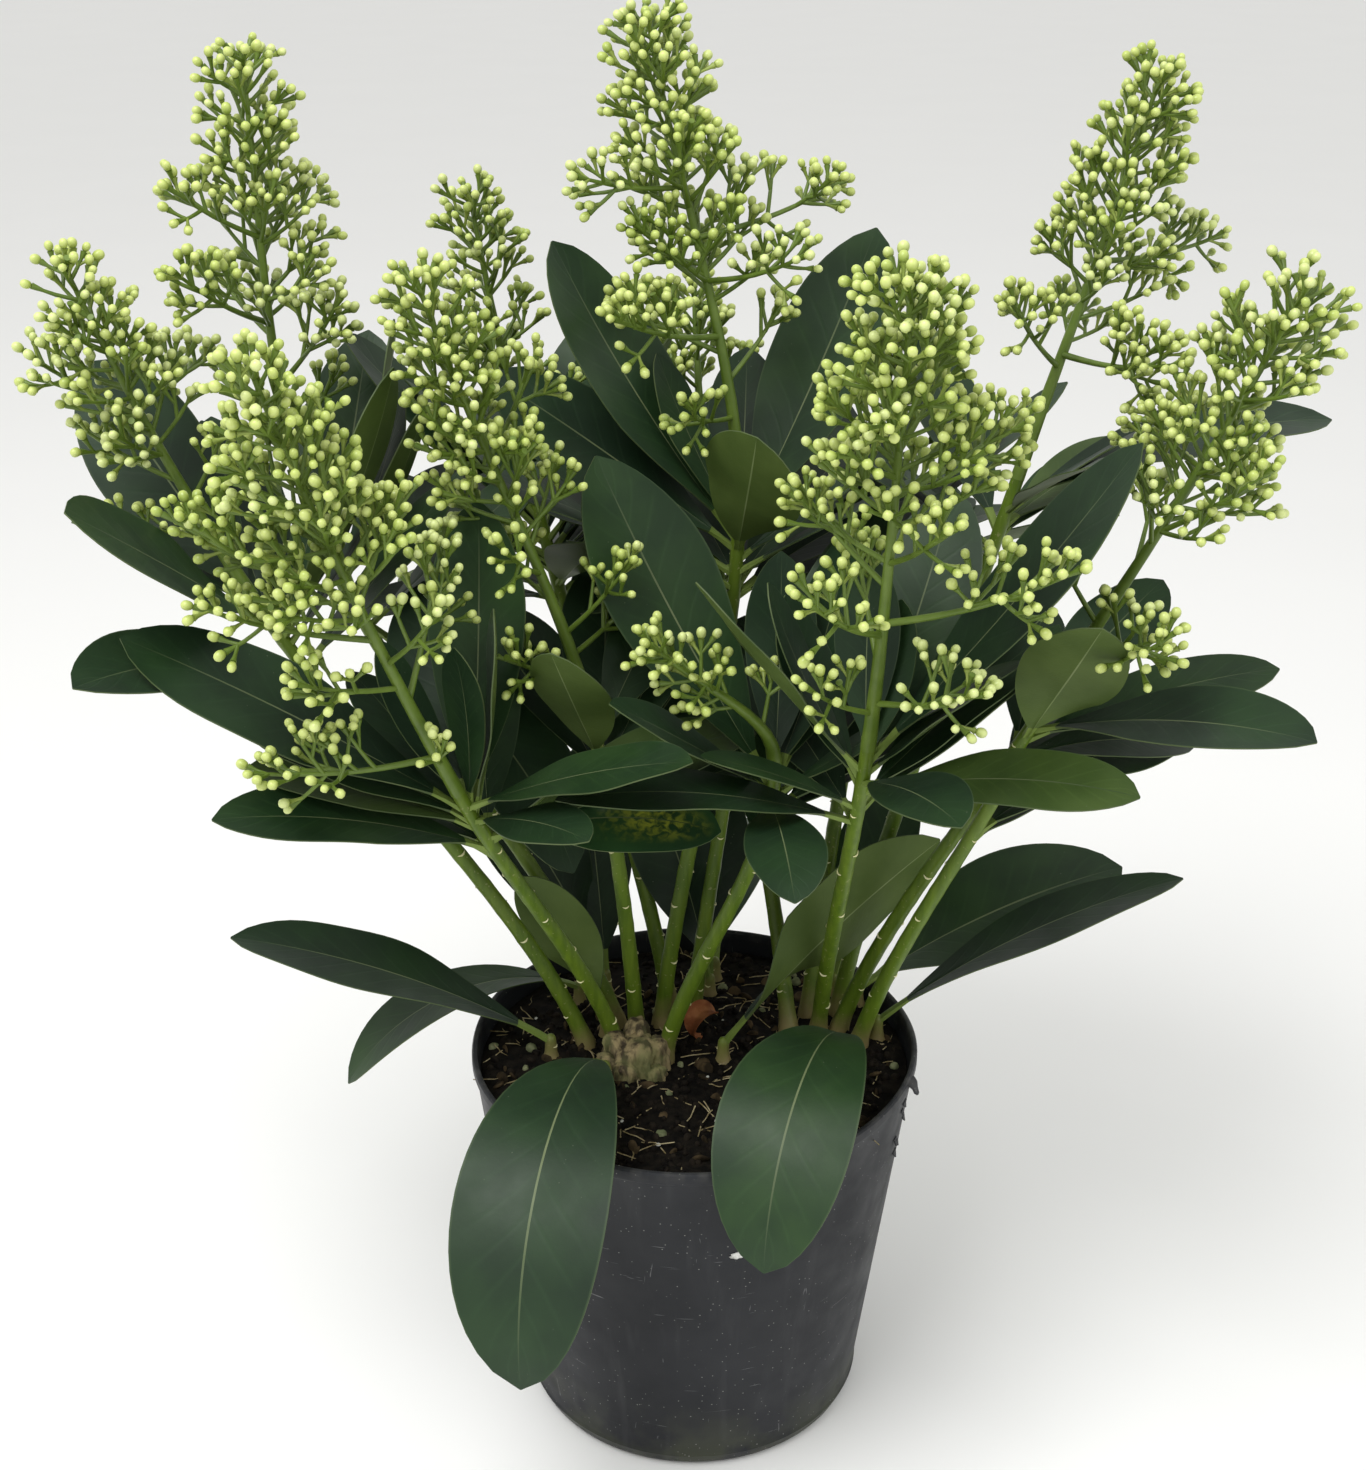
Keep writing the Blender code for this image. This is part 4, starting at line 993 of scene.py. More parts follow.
def scatter_rule():
    """Loose bits over the compost: crumbs, chips or lumps, each with its own lumpy outline."""
    rule = Rule("scatter", density=40000.0, least_size=0.0005, greatest_size=0.0015, flatness=0.7,
                lumpiness=0.0006, lump_scale=700.0, detail=2, seed=1, finish=None)
    ball = rule.node("MeshIcoSphere", Radius=1.0, Subdivisions=rule["detail"])
    size = rule.chance(rule["least_size"], rule["greatest_size"])
    turn = rule.chance((0.0, 0.0, 0.0), (6.28, 6.28, 6.28))
    flat = rule.node("CombineXYZ", size, size * 0.8, size * rule["flatness"])
    bits = rule.planted(rule.strewn(), ball, turn, flat)
    bits = rule.rippled(bits, rule["lumpiness"], rule["lump_scale"], middle=0.45)
    return rule.end(rule.wear(rule.smooth(bits), rule["finish"]))


def fibre_rule():
    """Dry fibres lying on the compost: thin bent threads."""
    rule = Rule("fibres", density=9000.0, length=0.014, thickness=0.00022, bend=0.010, bend_scale=70.0,
                seed=4, finish=None)
    line = rule.node("CurvePrimitiveLine", Start=(-0.5, 0.0, 0.0), End=(0.5, 0.0, 0.0))
    line = rule.node("ResampleCurve", Curve=line, Count=9)
    turn = rule.chance((0.0, -0.35, 0.0), (0.0, 0.35, 6.28))
    threads = rule.planted(rule.strewn(), line, turn, rule.chance(0.45, 1.2) * rule["length"])
    sway = rule.combined("SUBTRACT", rule.noise(rule["bend_scale"])[1], (0.5, 0.5, 0.5))
    sway = rule.combined("MULTIPLY", sway, (1.0, 1.0, 0.25))
    threads = rule.moved(threads, Offset=rule.scaled(sway, rule["bend"]))
    ring = rule.node("CurvePrimitiveCircle", Resolution=4, Radius=rule["thickness"])
    threads = rule.node("CurveToMesh", Curve=threads, Profile_Curve=ring, Scale=1.0, Fill_Caps=True)
    return rule.end(rule.wear(rule.smooth(threads), rule["finish"]))


RULES = {"limb": limb_rule(), "stalks": stalk_rule(), "buds": bud_rule(), "blade": blade_rule(),
         "scatter": scatter_rule(), "fibres": fibre_rule()}


# From a plan to a finished piece

KEPT_TRAITS = {"position", "material_index", "sharp_edge", "sharp_face", "across", "along"}


class Plan:
    """Points, the rails that join them and the values that a rule reads at each."""

    def __init__(self):
        self.places, self.edges, self.traits = [], [], {}

    def point(self, place, **traits):
        for key, value in traits.items():
            self.traits.setdefault(key, {})[len(self.places)] = value
        self.places.append(place * MM)

    def rail(self, rows):
        """Joins rows of a place and its traits, one after another."""
        first = len(self.places)
        for place, traits in rows:
            self.point(place, **traits)
        self.edges += [(i, i + 1) for i in range(first, len(self.places) - 1)]

    def tube(self, rows, **traits):
        """A rail from rows of a place and a radius in mm."""
        self.rail([(place, {"radius": radius * MM, **traits}) for place, radius in rows])

    def mesh(self, name):
        mesh = bpy.data.meshes.new(name)
        mesh.from_pydata(self.places, self.edges, [])
        for key, found in self.traits.items():
            vector = isinstance(next(iter(found.values())), Vector)
            layer = mesh.attributes.new(key, "FLOAT_VECTOR" if vector else "FLOAT", "POINT")
            for index, value in found.items():
                setattr(layer.data[index], "vector" if vector else "value", value)
        return mesh


def linked(name, data):
    made = bpy.data.objects.new(name, data)
    scene.collection.objects.link(made)
    return made


def settled(piece, slot, node):
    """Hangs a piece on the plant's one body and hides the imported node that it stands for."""
    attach(piece, "root")
    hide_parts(node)


def face_out(mesh, crease=None):
    """Turns the faces outward; with a crease angle, welds them and shades them smooth as well."""
    shape = bmesh.new()
    shape.from_mesh(mesh)
    if crease:
        bmesh.ops.remove_doubles(shape, verts=shape.verts, dist=WELD)
    bmesh.ops.recalc_face_normals(shape, faces=shape.faces)
    if crease:
        for face in shape.faces:
            face.smooth = True
        for edge in shape.edges:
            edge.smooth = len(edge.link_faces) != 2 or edge.calc_face_angle() < math.radians(crease)
    shape.to_mesh(mesh)
    shape.free()


def plain(made, modifier):
    """Takes the modifier's result as the piece's own mesh, and the modifier away."""
    finished = bpy.data.meshes.new_from_object(made.evaluated_get(bpy.context.evaluated_depsgraph_get()))
    made.modifiers.remove(modifier)
    old, made.data = made.data, finished
    bpy.data.meshes.remove(old)
    finished.name = made.name


def grown(name, plan, rule, slot, node, **sizes):
    """A rule's result on a plan or a mesh. Its finishes are those of FINISHES, or as told."""
    made = linked(name, plan.mesh(name) if isinstance(plan, Plan) else plan)
    modifier = made.modifiers.new(rule, "NODES")
    modifier.node_group = RULES[rule].tree
    wanted = FINISHES | sizes
    for socket in modifier.node_group.interface.items_tree:
        key = socket.name.lower().replace(" ", "_")
        if socket.in_out == "INPUT" and key in wanted:
            modifier[socket.identifier] = wanted[key]
    plain(made, modifier)
    for trait in [a.name for a in made.data.attributes if a.name not in KEPT_TRAITS]:
        if not trait.startswith("."):
            made.data.attributes.remove(made.data.attributes[trait])
    face_out(made.data)
    settled(made, slot, node)


def made_of(name, points, faces, finish, crease=35.0):
    """A piece from points in mm and faces."""
    mesh = bpy.data.meshes.new(name)
    mesh.from_pydata([tuple(p * MM) for p in points], [], faces)
    face_out(mesh, crease)
    mesh.materials.append(FINISHES[finish])
    return linked(name, mesh)


def band(first, steps):
    """Faces between the ring that starts at this point and the ring after it."""
    pairs = [(first + k, first + (k + 1) % steps) for k in range(steps)]
    return [(a, b, b + steps, a + steps) for a, b in pairs]


def turn_to(aim, upward=None, spin=0.0):
    """The turn, as Euler angles, that lays +Z along aim and +Y near upward."""
    aim = unit(aim)
    across = unit((upward or aim.orthogonal()).cross(aim))
    matrix = Matrix((across, aim.cross(across), aim)).transposed()
    return Vector((Matrix.Rotation(spin, 3, aim) @ matrix).to_euler())


# Limbs

SCAR_STEP = 11.0  # mm along a stem from one old leaf's scar to the next
SCAR_SIZE = 1.5  # mm, half a scar's width
LEAFY_SCAR = 0.75  # a scar's size among the leaves beside the others
SCAR_SWELL = 0.13  # mm, and as wide along the stem as SCAR_SIZE
RAIL_STEP = 2.6  # mm between the rings of a limb
BARE_FOOT = 11.0  # mm of the foot with no scar
BARE_TOP = 12  # mm of the top with no scar
SUNK = 2.0  # mm of a stem's foot in the compost
FLARE = 1.15  # mm that a stem's foot widens at the compost
SLENDER = 0.94  # the bare stem beside its solid
ROUNDED_END = ((1.4, 0.85), (2.8, 0.6), (3.8, 0.3), (4.2, 0.08))  # mm on, share of the radius


def stem_radius(share, up):
    """From the foot to the tip, with a flare at the compost."""
    wide = STEM_FOOT_RADIUS + (STEM_TOP_RADIUS - 0.2 - STEM_FOOT_RADIUS) * share
    return SLENDER * wide + FLARE * math.exp(-max(0.0, up) / 4.0)


def limb_plan(name, rng):
    line, plan, scars, rows = stem_line(name), Plan(), [], []
    up, turn = BARE_FOOT + rng.uniform(0, 5), rng.uniform(0, 360)
    while up < line.length - BARE_TOP:
        scars.append((up, turn))
        up += SCAR_STEP * rng.uniform(0.75, 1.3)
        turn += GOLDEN + rng.uniform(-14, 14)
    count = int(line.length / RAIL_STEP)
    for i in range(count + 1):
        up = line.length * i / count
        swell = sum(SCAR_SWELL * math.exp(-((up - scar) / SCAR_SIZE) ** 2) for scar, _ in scars)
        rows.append([line.at(up)[0], stem_radius(i / count, up) + swell])
    rows[0][0] = rows[0][0] - UPWARD * SUNK
    if not SHOOTS[name][2]:
        end, finish = line.at(line.length)
        rows += [(end + finish * out, STEM_TOP_RADIUS * share) for out, share in ROUNDED_END]
    plan.tube(rows, scar=0.0)
    for up, turn in scars:
        place, direction = line.at(up)
        outward = around(direction, turn, 90)
        surface = stem_radius(up / line.length, up) + 0.2
        size = SCAR_SIZE * rng.uniform(0.8, 1.12)
        if up > line.length - LEAFY_LENGTH:
            size *= LEAFY_SCAR
        plan.point(place + outward * surface, scar=1.0, size=size * MM, turn=turn_to(outward, direction))
    return plan


def build_limbs():
    for number, name in enumerate(SHOOTS):
        grown("limb_" + name, limb_plan(name, random.Random(500 + number)), "limb", "stem", "stem_" + name)


# Leaves

STATIONS = 27  # cross sections along a blade
BLADE_START = 0.08  # share of the length that is leaf stalk
BLADE_THICK = 0.55  # mm
STALK_THICK = 2.1  # mm
# How single blades differ: their fold and its waves, both as shares of the half width, how many
# waves there are, and how far the tip swings sideways as a share of the length.
FOLDS, WAVES, WAVE_COUNTS, SWINGS = (0.03, 0.17), (0.01, 0.06), (1.3, 2.6), (-0.035, 0.035)
# Single leaves are known by their shoot and by how far below its top they stand.
LEAF_TINTS = {("front_left", 18): 2, ("front_right", 20): 2, ("back_right", 18): 2, ("front_left", 22): 3}
# Leaves that show more of their face than the plan gives: width in mm and roll in degrees.
TURNED_FACES = {("far_left", 8): (38, -58), ("far_left", 14): (36, -34), ("front_left", 22): (26, 30),
                ("back_centre", 12): (34, -40)}
BROAD_FACES = {"low_leaf_middle": (38, -76), "low_leaf_rear_right": (46, 16), "low_leaf_right": (25, 6)}
# Blades that share a low leaf's foot: azimuth, rise at the stalk and at the tip, length, width
# and roll.
SHARED_FEET = {
    "low_leaf_tall_middle": ((168, 80, 62, 88, 30, -66), (24, 82, 62, 80, 28, 58)),
    "low_leaf_tall_left": ((110, 82, 60, 84, 28, -20),),
    "low_leaf_tall_right": ((112, 84, 70, 84, 28, -14), (172, 78, 60, 70, 26, -64)),
    "low_leaf_rear_left": ((60, 80, 64, 78, 28, 30),),
}
# A low leaf's stub: mm above the compost and radius.
STUB_OUTLINE = ((-1.0, 3.4), (0.4, 2.7), (2.0, 2.2), (4.0, 2.0), (6.0, 1.9), (7.6, 1.75), (8.6, 1.2),
                (9.1, 0.2))


def blade_width(share):
    """Share of the half width: a narrow foot, widest past the middle, a blunt point."""
    t = (share - BLADE_START) / (1 - BLADE_START)
    return t**1.05 * (1 - t) ** 0.70 / 0.308 if 0 < t < 1 else 0.0


def blade_rail(plan, leaf, rng, tint, fold=None):
    """A leaf's midrib, with what the blade rule reads at each cross section."""
    base, azimuth, start, end, power, length, width, roll = leaf[:8]
    fold = rng.uniform(*FOLDS) if fold is None else fold
    wave, turns, phase = rng.uniform(*WAVES), rng.uniform(*WAVE_COUNTS), rng.uniform(0, 6.28)
    sway = rng.uniform(*SWINGS) * length
    stations = [i / (STATIONS - 1) for i in range(STATIONS)]
    steps = 2 * (STATIONS - 1)
    side, frames = leaf_frames(base, azimuth, start, end, power, length, stations, steps)
    rows = []
    for share, (point, direction, normal) in zip(stations, frames):
        turned = Matrix.Rotation(math.radians(roll) * min(1.0, share * 2.2), 3, direction)
        across, over = turned @ side, turned @ normal
        half = max(1.35 * (1 - 0.4 * share) if share < 0.5 else 0.3, blade_width(share) * width / 2)
        left, right = math.sin(share * turns * 6.28 + phase), math.cos(share * turns * 5.4 + phase * 1.7)
        stalk = max(0.0, 1 - share / 0.17)
        thick = BLADE_THICK + (STALK_THICK - BLADE_THICK) * stalk**0.8
        spine = point + across * (sway * share * share) - over * (thick * 0.5)
        rows.append((spine, {
            "spine": spine * MM, "side": across, "over": over, "half": half * MM, "along": share,
            "lift_left": (fold + wave * left) * (1 - stalk),
            "lift_right": (fold + wave * right) * (1 - stalk),
            "thick": thick * MM, "vigour": 1.0 - 0.8 * share, "tint": float(tint)}))
    plan.rail(rows)


def lesser_leaves(masses, space):
    """Adds smaller leaves to the back and sides of each mass, within its reach."""
    for number, (name, leaves) in enumerate(masses.items()):
        rng = random.Random(400 + number)
        low, high = box_of([point for leaf in leaves for ring in leaf_shape(leaf)[0] for point in ring])
        rows = []
        for _, foot, row in down_spiral(name, rng, LESSER_COUNT, *LESSER_SPIRAL):
            way = heading(*row[1:3])
            tip = foot + way * row[3]
            if way.y > -0.15 and all(low[i] < tip[i] < high[i] for i in range(3)):
                rows.append(row)
        plan_leaves(name, space, rows, leaves, NOTICED_SHIFTS, rng)


def build_blades(masses):
    for number, (name, leaves) in enumerate(masses.items()):
        rng, plan = random.Random(600 + number), Plan()
        for leaf in leaves:
            spot = name, leaf[8]
            if spot in TURNED_FACES:
                leaf = (*leaf[:6], *TURNED_FACES[spot])
            tint = LEAF_TINTS[spot] if spot in LEAF_TINTS else int(rng.random() < 0.45)
            blade_rail(plan, leaf, rng, tint)
        grown("blades_" + name, plan, "blade", "leaf", "leaves_" + name)


def build_low_leaves(lows, space):
    for number, (name, leaf) in enumerate(lows.items()):
        rng, plan = random.Random(700 + number), Plan()
        if name in BROAD_FACES:
            leaf = (*leaf[:6], *BROAD_FACES[name])
        blade_rail(plan, leaf, rng, number % 2, fold=0.10 if leaf[6] > 40 else 0.16)
        for azimuth, start, end, *size in SHARED_FEET.get(name, ()):
            other = (leaf[0], azimuth, start, end, 1.0, *size)
            if leaf_fits(space, name, other, 0.5):
                blade_rail(plan, other, rng, 0)
                space.add(name, "full", *leaf_shape(other, 0.3))
        place = name.replace("low_leaf_", "")
        grown("low_blade_" + place, plan, "blade", "leaf", name)
        stub, foot = Plan(), Vector((leaf[0].x, leaf[0].y, SOIL_TOP))
        stub.tube([(foot + UPWARD * up, radius) for up, radius in STUB_OUTLINE], scar=0.0)
        outward = heading(leaf[1] + 150, 0)
        stub.point(foot + outward * 2.1 + UPWARD * 4.5, scar=1.0, size=1.2 * MM,
                   turn=turn_to(outward, UPWARD))
        grown("low_stub_" + place, stub, "limb", "stem", name)


# Blossom

BUD_RADIUS = 1.42  # mm
BUD_GAP = 3.5  # mm between the centres of neighbouring buds
BUD_ROOM = 2.2  # mm from a bud's centre to a leaf or a stem
TINT_SHARES = (0, 0, 0, 1, 2)  # the greens that sprays are dealt
PEDICEL_RADIUS = 0.46  # mm
CLUB = ((0.0, 1.1), (0.35, 0.95), (0.75, 1.3), (1.0, 2.3))  # a pedicel's share and thickness
LONGEST_PEDICEL = 5.2  # mm; a longer side stalk branches again
NODE_STEPS = (4.4, 9.5, 15.0, 21.0, 27.5, 35.0)  # mm back from a branch's bud to each pair of side stalks
BARE_SHARE = 0.34  # the share of a branch that bears nothing
BRANCH_SAG, SIDE_SAG = 0.04, 0.03  # of a branch's length
SIDE_OPENINGS = (38, 54)  # degrees from a branch to its side stalks
SIDE_UPTURN = 0.30  # how far side stalks turn up
LONGEST_SIDE = 17.0  # mm
AXIS_FOOT, AXIS_TIP = 2.35, 0.65  # mm, radius of a panicle's axis
# Lesser sprays: mm of the axis for each, degrees from the axis at its foot and how much more by
# its tip, their length beside the reach, the shortest one, and how near to a planned branch.
LESSER_STEP, LESSER_OPENING, LESSER_LENGTHS = 3.3, (68, -18), (0.62, 0.88)
LEAST_SPRAY, NEAR_SPRAY = 7.5, 7
TAPER = 0.6  # the power by which sprays shorten towards the tip
FLAT_TOPS = {"far_right": 0.42}  # the same for a head whose upper sprays stay long
CELLS_ABOUT = [(x, y, z) for x in (-1, 0, 1) for y in (-1, 0, 1) for z in (-1, 0, 1)]


class Room:
    """What stands in the way of a bud: other buds, leaves and stems."""

    def __init__(self, space):
        self.cells = {}
        self.shapes = [item[2:] for item in space.items
                       if item[1] != "outer" and not item[0].startswith("blossom")]

    def takes(self, place):
        """Keeps the place for a bud where nothing is too near."""
        x, y, z = [math.floor(c / BUD_GAP) for c in place]
        for right, back, up in CELLS_ABOUT:
            for other in self.cells.get((x + right, y + back, z + up), ()):
                if (other - place).length_squared < BUD_GAP**2:
                    return False
        for low, high, tree in self.shapes:
            near = all(low[i] - BUD_ROOM < place[i] < high[i] + BUD_ROOM for i in range(3))
            if near and tree.find_nearest(place, BUD_ROOM)[0]:
                return False
        self.cells.setdefault((x, y, z), []).append(place)
        return True


class Panicle:
    """One panicle's stalks and buds as they are grown."""

    def __init__(self, rng, room):
        self.rng, self.room, self.stalks, self.buds = rng, room, Plan(), Plan()

    def bud(self, foot, aim, tint):
        """Sets a bud where there is room; its foot is where the pedicel ends."""
        radius = BUD_RADIUS * self.rng.uniform(0.84, 1.10)
        centre = foot + aim * (radius * 1.1)
        if not self.room.takes(centre):
            return False
        turn = turn_to(aim, spin=self.rng.uniform(0, 1.57))
        self.buds.point(centre, size=radius * MM, turn=turn, tint=float(tint))
        return True

    def pedicel(self, start, end):
        """A thin stalk that widens like a club into the cup of its bud."""
        self.stalks.tube([(start.lerp(end, share), PEDICEL_RADIUS * size) for share, size in CLUB], thin=1.0)

    def cyme(self, start, aim, length, tint, turn, sag=BRANCH_SAG):
        """A branch that ends in a bud and bears pairs of side stalks, each pair square to the last."""
        rng = self.rng
        below = (aim * aim.z - UPWARD) * (sag * length + 0.01)

        def at(back):
            share = max(0.0, 1 - back / length)
            return start + aim * (length * share) + below * math.sin(math.pi * share)

        bore = self.bud(start + aim * length, aim, tint)
        for number, back in enumerate(NODE_STEPS):
            back *= rng.uniform(0.9, 1.1)
            if back > length * (1 - BARE_SHARE):
                break
            for way in (0, 180):
                about = turn + 90 * number + way + rng.uniform(-24, 24)
                side = unit(around(aim, about, rng.uniform(*SIDE_OPENINGS)) + UPWARD * SIDE_UPTURN)
                reach = min(LONGEST_SIDE, 2.6 + 0.60 * back) * rng.uniform(0.85, 1.12)
                if side.dot(below) > 0.35 * below.length and reach > LONGEST_PEDICEL:
                    continue
                place = at(back + rng.uniform(-0.5, 0.5))
                if reach > LONGEST_PEDICEL:
                    bore = self.cyme(place, side, reach, tint, rng.uniform(0, 360), SIDE_SAG) or bore
                elif self.bud(place + side * reach, side, tint):
                    self.pedicel(place, place + side * reach)
                    bore = True
        if bore and length > LONGEST_PEDICEL:
            foot_radius, tip_radius = 0.52 + 0.010 * length, 0.50
            count = max(4, int(length / 4))
            rows = []
            for share in [i / count for i in range(count + 1)]:
                swell = 1.0 + max(0.0, share * length - length + 2.0) / 2.0
                radius = (foot_radius + (tip_radius - foot_radius) * share) * swell
                rows.append((at(length * (1 - share)), radius))
            self.stalks.tube(rows, thin=0.0)
        return bore

    def axis(self, line):
        top, count, rows = line.length - 2 * BUD_RADIUS, int(line.length / 5), []
        for share in [i / count for i in range(count + 1)]:
            rows.append([line.at(top * share)[0], AXIS_FOOT + (AXIS_TIP - AXIS_FOOT) * share**0.8])
        rows[0][0] = rows[0][0] - line.at(0)[1] * 1.5
        self.stalks.tube(rows, thin=0.0)

    def planned(self, sprays):
        """The plan's own sprays, the side sprays set on the sagging branch that bears them."""
        for k, (base, direction, length, head) in enumerate(sprays):
            tint = self.rng.choice(TINT_SHARES)
            if head < HEAD_RADIUS:
                share = (base - parent[0]).length / parent[2]
                flat = parent[1] * parent[1].z - UPWARD
                base = base + flat * (BRANCH_SAG * parent[2] * math.sin(math.pi * share))
            elif k:
                parent = (base, direction, length)
            sag = BRANCH_SAG if k else 0.0
            self.cyme(base, direction, length - 2 * BUD_RADIUS, tint, self.rng.uniform(0, 360), sag)


def lesser_sprays(name, line, sprays, rng):
    """Shorter branches between the planned ones, so that the cone is full all round."""
    reach, taper, rows = SHOOTS[name][5], FLAT_TOPS.get(name, TAPER), []
    count, turn = int(line.length / LESSER_STEP), rng.uniform(0, 360)
    for i in range(count):
        share = 0.42 + 0.56 * ((i + 0.5) / count) ** 0.8
        base, axis = line.at(share * line.length)
        opening = run(LESSER_OPENING, share) * rng.uniform(0.88, 1.12)
        direction = around(axis, turn + GOLDEN * i, opening)
        length = (reach * (1.04 - share) ** taper + 10) * rng.uniform(*LESSER_LENGTHS)
        length = min(length, line.length * (1.0 - share) / direction.dot(axis) + 2.0)
        near = any((base - spray[0]).length < NEAR_SPRAY and direction.dot(spray[1]) > 0.93
                   for spray in sprays)
        if length >= LEAST_SPRAY and not near:
            rows.append((base, direction, length))
    return rows


def build_panicles(panicles, space):
    room = Room(space)
    for number, (name, (line, sprays)) in enumerate(panicles.items()):
        rng = random.Random(800 + number)
        panicle = Panicle(rng, room)
        panicle.axis(line)
        panicle.planned(sprays)
        for base, direction, length in lesser_sprays(name, line, sprays, rng):
            tint = rng.choice(TINT_SHARES)
            panicle.cyme(base, direction, length - 2 * BUD_RADIUS, tint, rng.uniform(0, 360))
        grown("stalks_" + name, panicle.stalks, "stalks", "blossom", "blossom_" + name)
        grown("buds_" + name, panicle.buds, "buds", "blossom", "blossom_" + name)


# Pot, compost and woody crown

POT_STEPS = 128
LIP_LOW = POT_HEIGHT - LIP_DEPTH
TAB_AZIMUTH = -18.6  # degrees, where a torn tab of the lip is bent out
TAB_PATH = ((-0.6, 0.0, 3.4), (0.6, -0.5, 3.1), (1.6, -1.6, 2.7), (2.1, -3.2, 2.3), (2.9, -4.6, 1.0))
SCUFF_AZIMUTH, SCUFF_HEIGHT, SCUFF_RIM = -78.6, 97.9, 22
CROWN = Vector((-19.0, -7.0, SOIL_TOP))  # middle of the woody crown
CROWN_STEPS, CROWN_RINGS = 30, 14
# Each knob of the crown: place beside the middle, lean, height and width in mm.
KNOBS = ((0, 0, 1, 2, 11, 7.3), (-5, 2, -3, 1, 12, 5.0), (5, 2, 3, 1, 10, 5.0), (-3, -4, -1, -2, 6, 4.6),
         (5, -4, 2, -1, 4, 4.0), (-8, -1, -3, -1, 7, 3.6), (0, 6, 0, 3, 14, 4.8))
# What lies on the compost: name, rule, finish, density for each square metre, seed and sizes.
LITTER = (
    ("crumbs", "scatter", "crumb", 62000.0, 3,
     {"least_size": 0.0005, "greatest_size": 0.0019, "lumpiness": 0.0009, "detail": 2}),
    ("chips", "scatter", "chip", 7600.0, 7,
     {"least_size": 0.0012, "greatest_size": 0.0034, "flatness": 0.28, "lumpiness": 0.0011, "detail": 2}),
    ("lumps", "scatter", "lump", 1900.0, 11,
     {"least_size": 0.0012, "greatest_size": 0.0024, "flatness": 0.8, "lumpiness": 0.001, "detail": 3}),
    ("grit", "scatter", "white", 1700.0, 13,
     {"least_size": 0.0004, "greatest_size": 0.0010, "flatness": 0.8, "lumpiness": 0.0004, "detail": 2}),
    ("fibres", "fibres", "fibre", 15000.0, 5, {}),
)


def wall_radius(z):
    top = POT_TOP_RADIUS - LIP_BULGE
    return POT_BASE_RADIUS + (top - POT_BASE_RADIUS) * z / LIP_LOW


def turned_points(profile, steps, relief):
    """Points and faces of a closed solid of revolution; the profile's ends lie on the axis."""
    points, faces, rings = [], [], []
    for radius, z in profile:
        if radius == 0:
            rings.append([len(points)] * steps)
            points.append(Vector((0, 0, z)))
            continue
        rings.append(list(range(len(points), len(points) + steps)))
        for k in range(steps):
            angle = 2 * math.pi * k / steps
            out, up = relief(radius, z, angle)
            points.append(Vector((out * math.cos(angle), out * math.sin(angle), up)))
    for low, high in zip(rings, rings[1:]):
        for k in range(steps):
            j = (k + 1) % steps
            corners = list(dict.fromkeys((low[k], high[k], high[j], low[j])))
            if len(corners) > 2:
                faces.append(corners)
    return points, faces


def pot_relief(radius, z, angle):
    """Two faint mould seams down the wall and a lip that isn't quite true."""
    away = [math.remainder(angle - seam, 2 * math.pi) * radius / 0.5 for seam in (0.35, 0.35 + math.pi)]
    if radius > wall_radius(z) - 0.3 and 6 < z < LIP_LOW - 1:
        radius += 0.14 * sum(math.exp(-distance**2) for distance in away)
    if z > 60:
        share = (z - 60) / 74
        radius += 0.35 * share * share * math.sin(3 * angle + 0.8) + 0.18 * share * math.sin(7 * angle + 2.0)
    if z > LIP_LOW - 1:
        z += 0.25 * math.sin(2 * angle + 1.0) - 0.2
    return radius, z


def pot_outline():
    """Radius and height from the inside of the floor over the lip and down to the outer floor."""
    floor = ((6.5, 0.0), (4.2, 0.6), (2.4, 2.6))
    lip_top = ((2.5, 1.1), (2.2, 0.35), (1.6, 0.05), (0.9, 0.2), (0.45, 0.8))
    lip_edge = ((0.4, 1.4), (0.7, 0.5), (1.2, 0.1))
    foot = ((RIDGE_HEIGHT, 0.25, RIDGE_HEIGHT + 0.9), (RIDGE_HEIGHT, 0.5, RIDGE_HEIGHT), (4, 0.3, 4.3),
            (3, -0.1, 3.0), (1.4, -0.7, 1.4), (0.4, -1.6, 0.4), (0, -2.6, 0.0), (0, -7.0, 0.0),
            (0, -7.8, 0.5))
    return [
        (0, POT_FLOOR), (36, POT_FLOOR),
        *[(wall_radius(0) - inward, POT_FLOOR + up) for inward, up in floor],
        *[(wall_radius(z) - POT_WALL, z) for z in (9, 30, 60, 90, 115, LIP_LOW)],
        (POT_TOP_RADIUS - 2.6, LIP_LOW + 1.0),
        *[(POT_TOP_RADIUS - inward, POT_HEIGHT - down) for inward, down in lip_top],
        *[(POT_TOP_RADIUS - inward, LIP_LOW + up) for inward, up in lip_edge],
        (wall_radius(LIP_LOW) - 0.05, LIP_LOW - 0.5),
        *[(wall_radius(z), z) for z in (115, 90, 60, 30, 12, RIDGE_HEIGHT + 1.6)],
        *[(wall_radius(at) + out, z) for at, out, z in foot],
        (30, 0.5), (0, 0.5),
    ]


